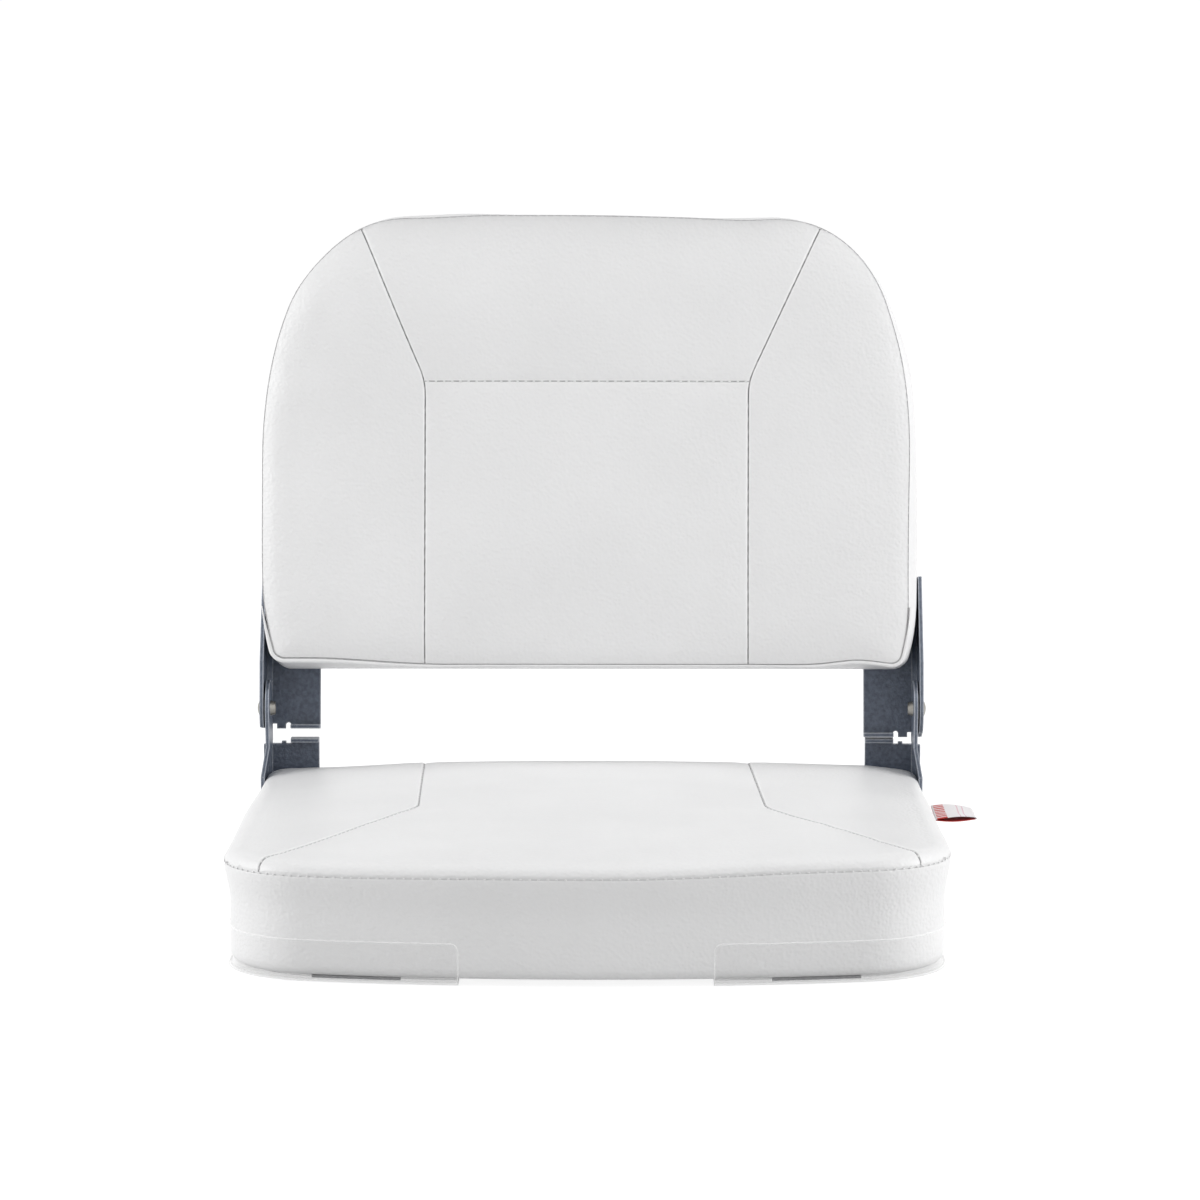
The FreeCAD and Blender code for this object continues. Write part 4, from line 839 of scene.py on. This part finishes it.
def back_cushion():
    rim = Rim(back_outline)
    face = sew(rim, (BACK_FRONT_INSET,), BACK_SEAMS, BACK_HALF, BACK_CORNER_RUNS, True)
    x, u = face.plan.T
    wrinkled = rising(-x, BACK_CREASE_LEFT_SLOPE) * rising(u, BACK_CREASE_UP_SLOPE)
    creases = ripple(face.plan @ BACK_CREASE_SLANT, BACK_CREASE_SIZE, BACK_CREASE_SEED)
    below_top = 1 - rising(u, BACK_TOP_SLOPE)
    roll = below_top * (BACK_ROLL - BACK_ROLL_SKEW * np.tanh(x / BACK_SKEW_REACH))
    roll *= BACK_FOOT_ROLL + (1 - BACK_FOOT_ROLL) * rising(u, BACK_FOOT_ROLL_SLOPE)
    heights = BACK_SEAM_W + crown(
        face, BACK_CROWN, CROWN_EASE, roll, BACK_ROLL_REACH, BACK_ROLL_BEND, BACK_SEED
    )
    heights += BACK_CREASE * creases * wrinkled * soft_step(face.from_rim / BACK_CREASE_MARGIN)
    shelf = face.seams[2]
    from_shelf = nearest(face.plan, densify(face.plan[shelf], LINE_STEP))
    heights += SHELF_FILL * GROOVE_DEPTH * np.exp(-(from_shelf / GROOVE_WIDTH) ** 2)
    rows = []
    for inset, level in back_side():
        rows.append(level_line(rim.points(face.places, inset), level))
    sewn_rim = level_line(rim.points(face.places, BACK_FRONT_INSET), BACK_SEAM_W - BACK_SEAM_SINK)
    piece, points = stuffed(
        "back_cushion", face, heights, rows, BACK_SEAM_W, sewn_rim, [face.ring, shelf], back_settle
    )
    edge = level_line(rim.points(face.places, BACK_FRONT_INSET), BACK_SEAM_W - BACK_STITCH_SINK)
    free = edge[edge[:, 1] > BACK_STITCH_LOW]
    start = np.argmax(np.linalg.norm(np.diff(free, axis=0), axis=1)) + 1
    sewn = [(points[shelf], STITCH_LIFT), (np.roll(free, -start, axis=0), 0.0)]
    return piece, thread("back_stitches", sewn, back_settle)


def back_piping():
    """The back's rolled lower rim, full at its corners, thin in the middle, with painted shade on its side
    where it meets the face.
    """
    rim = Rim(back_outline)
    marks = np.linspace(-PIPING_SPAN, PIPING_SPAN, PIPING_STEPS)
    line = rim.points(marks, BACK_FRONT_INSET)
    tangent = np.gradient(line, axis=0)
    tangent /= np.linalg.norm(tangent, axis=1, keepdims=True)
    outward = np.column_stack([tangent[:, 1], -tangent[:, 0]])
    corner = rising(-line[:, 0], PIPING_LEFT_SLOPE)
    corner += PIPING_RIGHT_SHARE * rising(line[:, 0], PIPING_RIGHT_SLOPE)
    from_end = PIPING_SPAN - np.abs(marks)
    thin = PIPING_END_SHARE + (1 - PIPING_END_SHARE) * rising(from_end, PIPING_END_SLOPE)
    angles = np.arange(PIPING_SIDES) * 2 * math.pi / PIPING_SIDES
    points = []
    for spot, away, full, fade in zip(line, outward, corner, thin):
        radius = (PIPING_RADIUS + PIPING_CORNER_RADIUS * full) * fade
        for angle in angles:
            flat = spot + away * (PIPING_OUT + PIPING_CORNER_OUT * full + radius * math.cos(angle))
            points.append((*flat, BACK_SEAM_W - PIPING_SINK - PIPING_DEPTH * math.sin(angle)))
    piece = mesh_object("back_piping", back_settle(np.array(points)), tube_faces(0, len(line), PIPING_SIDES))
    # Painted shade on the piping's inner side, where it meets the face
    mark(piece, "seam", np.tile(rising(-np.cos(angles), PIPING_SEAM_SLOPE), len(line)))
    return piece


def side_ribbon():
    """A soft label sewn into the seat's side seam, folded over with its leaves a little apart."""
    low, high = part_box("side_tag")
    root, tip = low.x, high.x - TAG_TIP_ROOM
    run = tip - root
    shares = np.linspace(0, 1, TAG_STEPS_OUT)
    upper = np.column_stack([root + run * shares, TAG_GAP + TAG_BELLY * np.sin(math.pi * shares)])
    upper[-1, 1] = 0.0
    profile = np.vstack([upper, upper[-2::-1] * (1, -TAG_LOWER_BELLY)])
    across = np.linspace(low.y, high.y, TAG_STEPS_ACROSS)
    points, faces = [], []
    for y in across:
        sway = (y - low.y) / (high.y - low.y)
        for x, rise in profile:
            out = (x - root) / run
            turn = math.sin(TAG_TURN_ACROSS * sway + TAG_TURN_OUT * out)
            wave = TAG_WAVE * out * turn * (1 if rise > 0 else TAG_LOWER_WAVE)
            droop = TAG_DROOP * out * (0.5 - sway)
            points.append((x - TAG_SKEW * out * sway, y, (low.z + high.z) / 2 + rise + wave + droop))
    count = len(profile)
    for row in range(len(across) - 1):
        for number in range(count - 1):
            base = row * count + number
            faces.append([base, base + 1, base + count + 1, base + count])
    piece = mesh_object("side_ribbon", points, faces)
    lengths = run_length(profile)
    mark(piece, "leaf", np.tile(lengths / lengths[-1], len(across)))
    mark(piece, "across", np.repeat((across - low.y) / (high.y - low.y), count))
    solid = piece.modifiers.new("thickness", "SOLIDIFY")
    solid.thickness = TAG_THICK
    solid.offset = 0
    return piece, (high.y - low.y, lengths[-1])


class Finish:
    """A material and its nodes, linked as they are made."""

    def __init__(self, name):
        self.material = bpy.data.materials.new(name)
        self.material.use_nodes = True
        self.tree = self.material.node_tree
        self.tree.nodes.clear()
        self.coordinates = self.node("ShaderNodeTexCoord").outputs["Object"]

    def put(self, value, socket):
        if isinstance(value, bpy.types.NodeSocket):
            self.tree.links.new(value, socket)
        else:
            socket.default_value = value

    def node(self, kind, sockets=None, **settings):
        made = self.tree.nodes.new(kind)
        for name, value in settings.items():
            setattr(made, name, value)
        for name, value in (sockets or {}).items():
            self.put(value, made.inputs[name])
        return made

    def noise(self, scale, detail=2.0):
        sockets = {"Vector": self.coordinates, "Scale": scale, "Detail": detail}
        return self.node("ShaderNodeTexNoise", sockets).outputs["Fac"]

    def mix(self, share, first, second):
        made = self.node("ShaderNodeMix", data_type="RGBA")
        for value, number in ((share, 0), (first, 6), (second, 7)):
            self.put(value, made.inputs[number])
        return made.outputs[2]

    def ramp(self, value, low, high, to_low=0.0, to_high=1.0):
        sockets = {"Value": value, "From Min": low, "From Max": high, "To Min": to_low, "To Max": to_high}
        return self.node("ShaderNodeMapRange", sockets).outputs["Result"]

    def maths(self, operation, first, second):
        return self.node("ShaderNodeMath", {0: first, 1: second}, operation=operation).outputs[0]

    def times(self, first, second):
        return self.maths("MULTIPLY", first, second)

    def attribute(self, name):
        return self.node("ShaderNodeAttribute", attribute_name=name).outputs["Fac"]

    def band(self, value, start, end):
        return self.times(self.maths("GREATER_THAN", value, start), self.maths("LESS_THAN", value, end))

    def edges(self, radius):
        """One along a solid's sharp edges, nothing on its flat faces."""
        flat = self.node("ShaderNodeNewGeometry").outputs["Normal"]
        soft = self.node("ShaderNodeBevel", {"Radius": radius}, samples=6).outputs["Normal"]
        turned = self.node("ShaderNodeVectorMath", {0: soft, 1: flat}, operation="DOT_PRODUCT")
        return self.ramp(turned.outputs["Value"], 1.0, 0.80)

    def bump(self, height, strength, distance):
        sockets = {"Height": height, "Strength": strength, "Distance": distance}
        return self.node("ShaderNodeBump", sockets).outputs["Normal"]

    def surface(self, sockets):
        shader = self.node("ShaderNodeBsdfPrincipled", sockets)
        self.node("ShaderNodeOutputMaterial", {"Surface": shader.outputs["BSDF"]})
        return self.material


def tone(red, green, blue):
    return (red, green, blue, 1.0)


def vinyl():
    """White vinyl with a leather grain, painted shade in the seams and a painted highlight beside them."""
    made = Finish("white_vinyl")
    cells = made.node(
        "ShaderNodeTexVoronoi",
        {"Vector": made.coordinates, "Scale": 480.0, "Randomness": 0.9}, feature="SMOOTH_F1",
    ).outputs["Distance"]
    height = made.maths("ADD", cells, made.times(made.noise(260.0, 3.0), 0.6))
    cloud = made.ramp(made.noise(11.0, 3.0), 0.3, 0.7)
    colour = made.mix(cloud, tone(0.775, 0.775, 0.778), tone(0.813, 0.813, 0.816))
    # Painted highlight: paler just beside the seams, from the lip attribute
    colour = made.mix(made.times(made.attribute("lip"), 0.7), colour, tone(0.95, 0.95, 0.95))
    # Painted shade: darker along the seams, from the seam attribute
    colour = made.mix(made.times(made.attribute("seam"), 0.85), colour, tone(0.16, 0.16, 0.165))
    return made.surface({
        "Base Color": colour,
        "Roughness": made.ramp(made.noise(35.0, 3.0), 0.0, 1.0, 0.40, 0.50),
        "Normal": made.bump(height, 0.42, 0.0007),
    })


def powder_coat():
    """Grey powder coat with orange peel and a painted highlight along the edges."""
    made = Finish("grey_powder_coat")
    speck = made.ramp(made.noise(360.0, 3.0), 0.35, 0.65)
    colour = made.mix(speck, tone(0.076, 0.094, 0.132), tone(0.124, 0.148, 0.196))
    # Painted highlight: pale colour along the sharp edges
    colour = made.mix(made.times(made.edges(0.0016), 0.95), colour, tone(0.62, 0.65, 0.70))
    return made.surface({
        "Base Color": colour,
        "Roughness": 0.38,
        "Normal": made.bump(made.noise(480.0), 0.75, 0.0006),
    })


def metal(name, low, high, roughness, scale):
    made = Finish(name)
    stain = made.ramp(made.noise(scale, 4.0), 0.35, 0.65)
    return made.surface({
        "Base Color": made.mix(stain, low, high),
        "Metallic": 1.0,
        "Roughness": roughness,
        "Normal": made.bump(made.noise(scale * 5), 0.06, 0.0003),
    })


def plastic(name, low, high, roughness, scale, strength):
    made = Finish(name)
    grain = made.noise(scale, 3.0)
    return made.surface({
        "Base Color": made.mix(made.ramp(grain, 0.35, 0.65), low, high),
        "Roughness": roughness,
        "Normal": made.bump(grain, strength, 0.0003),
    })


def plywood():
    made = Finish("plywood")
    rings = made.node(
        "ShaderNodeTexWave", {"Vector": made.coordinates, "Scale": 18.0, "Distortion": 9.0, "Detail": 3.0}
    ).outputs["Fac"]
    return made.surface({
        "Base Color": made.mix(rings, tone(0.42, 0.27, 0.14), tone(0.56, 0.39, 0.22)),
        "Roughness": 0.7,
        "Normal": made.bump(rings, 0.1, 0.0004),
    })


def clear_guard():
    """Clear plastic that shows mostly by a painted highlight along its edges and a painted reflection that
    grows toward grazing angles, with painted shade on its lower lip.
    """
    made = Finish("clear_plastic")
    facing = made.node("ShaderNodeLayerWeight", {"Blend": 0.3}).outputs["Facing"]
    haze = made.ramp(made.noise(30.0, 2.0), 0.3, 0.7, 0.01, 0.03)
    # Painted highlight: opaque white along the sharp edges
    edge = made.times(made.edges(0.0015), 0.9)
    place = made.node("ShaderNodeNewGeometry").outputs["Position"]
    level = made.node("ShaderNodeSeparateXYZ", {0: place}).outputs["Z"]
    # Painted shade: the lower lip, turned under the seat, is tinted grey and made less clear
    lip = made.times(made.maths("LESS_THAN", level, GUARD_LIP_Z), 0.22)
    # Painted reflection: white that thickens toward grazing angles, over a faint random haze
    sheer = made.maths("ADD", made.times(facing, 0.16), haze)
    alpha = made.maths("MAXIMUM", made.maths("MAXIMUM", edge, lip), sheer)
    return made.surface({
        "Base Color": made.mix(lip, tone(0.98, 0.98, 0.98), tone(0.25, 0.26, 0.26)),
        "Roughness": 0.16,
        "Alpha": alpha,
        "Normal": made.bump(made.noise(90.0), 0.05, 0.0005),
    })


def ribbon():
    """Thin white satin with a barred red band at its root, two pink lines across it and a red reverse."""
    made = Finish("tag_ribbon")
    leaf, across = made.attribute("leaf"), made.attribute("across")
    weave = made.node(
        "ShaderNodeTexWave", {"Vector": made.coordinates, "Scale": 900.0, "Distortion": 0.5}
    ).outputs["Fac"]
    white = made.mix(weave, tone(0.86, 0.84, 0.85), tone(0.92, 0.90, 0.91))
    red = made.mix(weave, tone(0.52, 0.022, 0.016), tone(0.64, 0.035, 0.026))
    pink = made.mix(weave, tone(0.76, 0.52, 0.58), tone(0.82, 0.60, 0.66))
    bars = made.maths("LESS_THAN", made.maths("FRACT", made.times(across, 9.0), 0.0), 0.62)
    colour = made.mix(made.times(made.band(leaf, 0.02, 0.145), bars), white, red)
    for start, end in ((0.295, 0.309), (0.358, 0.372)):
        colour = made.mix(made.band(leaf, start, end), colour, pink)
    colour = made.mix(made.maths("GREATER_THAN", leaf, 0.52), colour, red)
    cloth = made.node("ShaderNodeBsdfPrincipled", {
        "Base Color": colour,
        "Roughness": 0.45,
        "Normal": made.bump(weave, 0.2, 0.0002),
    })
    through = made.node("ShaderNodeBsdfTranslucent", {"Color": colour})
    both = made.node("ShaderNodeMixShader", {0: 0.15, 1: cloth.outputs[0], 2: through.outputs[0]})
    made.node("ShaderNodeOutputMaterial", {"Surface": both.outputs[0]})
    return made.material


def shown_directly(tree):
    """One for what the camera sees straight, in a mirror or through clear plastic."""
    path = tree.nodes.new("ShaderNodeLightPath")
    total = path.outputs["Is Camera Ray"]
    for name in ("Is Glossy Ray", "Is Transmission Ray"):
        either = tree.nodes.new("ShaderNodeMath")
        either.operation = "MAXIMUM"
        tree.links.new(total, either.inputs[0])
        tree.links.new(path.outputs[name], either.inputs[1])
        total = either.outputs[0]
    return total


def studio_floor():
    corners = [(FLOOR_HALF * x, FLOOR_HALF * y, 0) for x, y in ((-1, -1), (1, -1), (1, 1), (-1, 1))]
    floor = mesh_object("floor", corners, [[0, 1, 2, 3]], False)
    made = Finish("pale_floor")
    speck = made.mix(made.noise(3.0), tone(0.33, 0.33, 0.33), tone(0.34, 0.34, 0.34))
    seen = made.node("ShaderNodeBsdfDiffuse", {"Color": speck})
    glow = made.node("ShaderNodeEmission", {"Color": tone(1, 1, 1), "Strength": FLOOR_GLOW})
    both = made.node("ShaderNodeAddShader", {0: seen.outputs[0], 1: glow.outputs[0]})
    bounce = made.node("ShaderNodeBsdfDiffuse", {"Color": tone(0.74, 0.74, 0.74)})
    mixed = made.node(
        "ShaderNodeMixShader", {0: shown_directly(made.tree), 1: bounce.outputs[0], 2: both.outputs[0]}
    )
    made.node("ShaderNodeOutputMaterial", {"Surface": mixed.outputs[0]})
    floor.data.materials.append(made.material)


def studio_world():
    """Soft white light all round, and plain white where the camera sees it."""
    scene = bpy.context.scene
    scene.world = scene.world or bpy.data.worlds.new("studio")
    scene.world.use_nodes = True
    tree = scene.world.node_tree
    tree.nodes.clear()
    mixed = tree.nodes.new("ShaderNodeMixShader")
    tree.links.new(shown_directly(tree), mixed.inputs[0])
    for number, strength in ((1, WORLD_LIGHT), (2, 1.0)):
        white = tree.nodes.new("ShaderNodeBackground")
        white.inputs["Color"].default_value = tone(1, 1, 1)
        white.inputs["Strength"].default_value = strength
        tree.links.new(white.outputs[0], mixed.inputs[number])
    output = tree.nodes.new("ShaderNodeOutputWorld")
    tree.links.new(mixed.outputs[0], output.inputs["Surface"])


def aimed(name, data, spot, target):
    """Puts a lamp or a camera where it looks at its target."""
    holder = bpy.data.objects.new(name, data)
    holder.location = spot
    holder.rotation_euler = (Vector(target) - Vector(spot)).to_track_quat("-Z", "Y").to_euler()
    bpy.context.scene.collection.objects.link(holder)
    return holder


def studio_lamps():
    for name, spot, size, watts in LAMPS:
        lamp = bpy.data.lights.new(name, "AREA")
        lamp.shape = "SQUARE"
        lamp.size = size
        lamp.energy = watts
        aimed(name, lamp, spot, LAMP_TARGET)


def studio_camera():
    data = bpy.data.cameras.new("camera")
    data.lens = CAMERA_LENS_MM
    data.sensor_width = CAMERA_SENSOR_MM
    data.clip_end = CAMERA_REACH
    camera = aimed("camera", data, CAMERA_SPOT, CAMERA_TARGET)
    bpy.context.scene.camera = camera
    bpy.context.scene.view_settings.view_transform = "Standard"


def dress(piece, material, body):
    piece.data.materials.append(material)
    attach(piece, body)


white_vinyl = vinyl()
seat_piece, seat_thread = seat_cushion()
back_piece, back_thread = back_cushion()
piping = back_piping()
tag, tag_flat = side_ribbon()
for piece in (seat_piece, seat_thread):
    dress(piece, white_vinyl, "seat")
for piece in (back_piece, back_thread, piping):
    dress(piece, white_vinyl, "back")
dress(tag, ribbon(), "seat")
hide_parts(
    "seat_foam", "seat_cover_centre", "seat_cover_left", "seat_cover_right", "seat_cover_boxing"
)
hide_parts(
    "back_foam", "back_cover_centre", "back_cover_top", "back_cover_left", "back_cover_right",
    "back_cover_boxing", "back_cover_rear",
)
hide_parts("back_welt")
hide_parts("side_tag")

zinc = metal("zinc", tone(0.48, 0.49, 0.51), tone(0.60, 0.61, 0.63), 0.36, 160.0)
# The finish of each CAD node that still shows, by a word of its name
FINISHES = {
    "seat_pan": plastic("pan_plastic", tone(0.035, 0.035, 0.038), tone(0.06, 0.06, 0.065), 0.55, 300.0, 0.15),
    "staples": metal("staple_wire", tone(0.50, 0.51, 0.53), tone(0.60, 0.61, 0.63), 0.35, 200.0),
    "t_nuts": zinc,
    "screws": zinc,
    "rivet": metal("nickel", tone(0.27, 0.26, 0.24), tone(0.38, 0.37, 0.34), 0.34, 220.0),
    "washer": plastic("nylon", tone(0.020, 0.020, 0.022), tone(0.032, 0.032, 0.034), 0.5, 400.0, 0.08),
    "tape": plastic("grey_tape", tone(0.30, 0.30, 0.31), tone(0.38, 0.38, 0.39), 0.6, 500.0, 0.1),
    "corner_guard": clear_guard(),
    "board": plywood(),
    "hinge_left": powder_coat(),
}
FINISHES["hinge_right"] = FINISHES["hinge_left"]
for name, node in frame["nodes"].items():
    if node.hide_render:
        continue
    kind = next(kind for kind in FINISHES if kind in name)
    node.data.materials.clear()
    node.data.materials.append(FINISHES[kind])

studio_floor()
studio_world()
studio_lamps()
studio_camera()
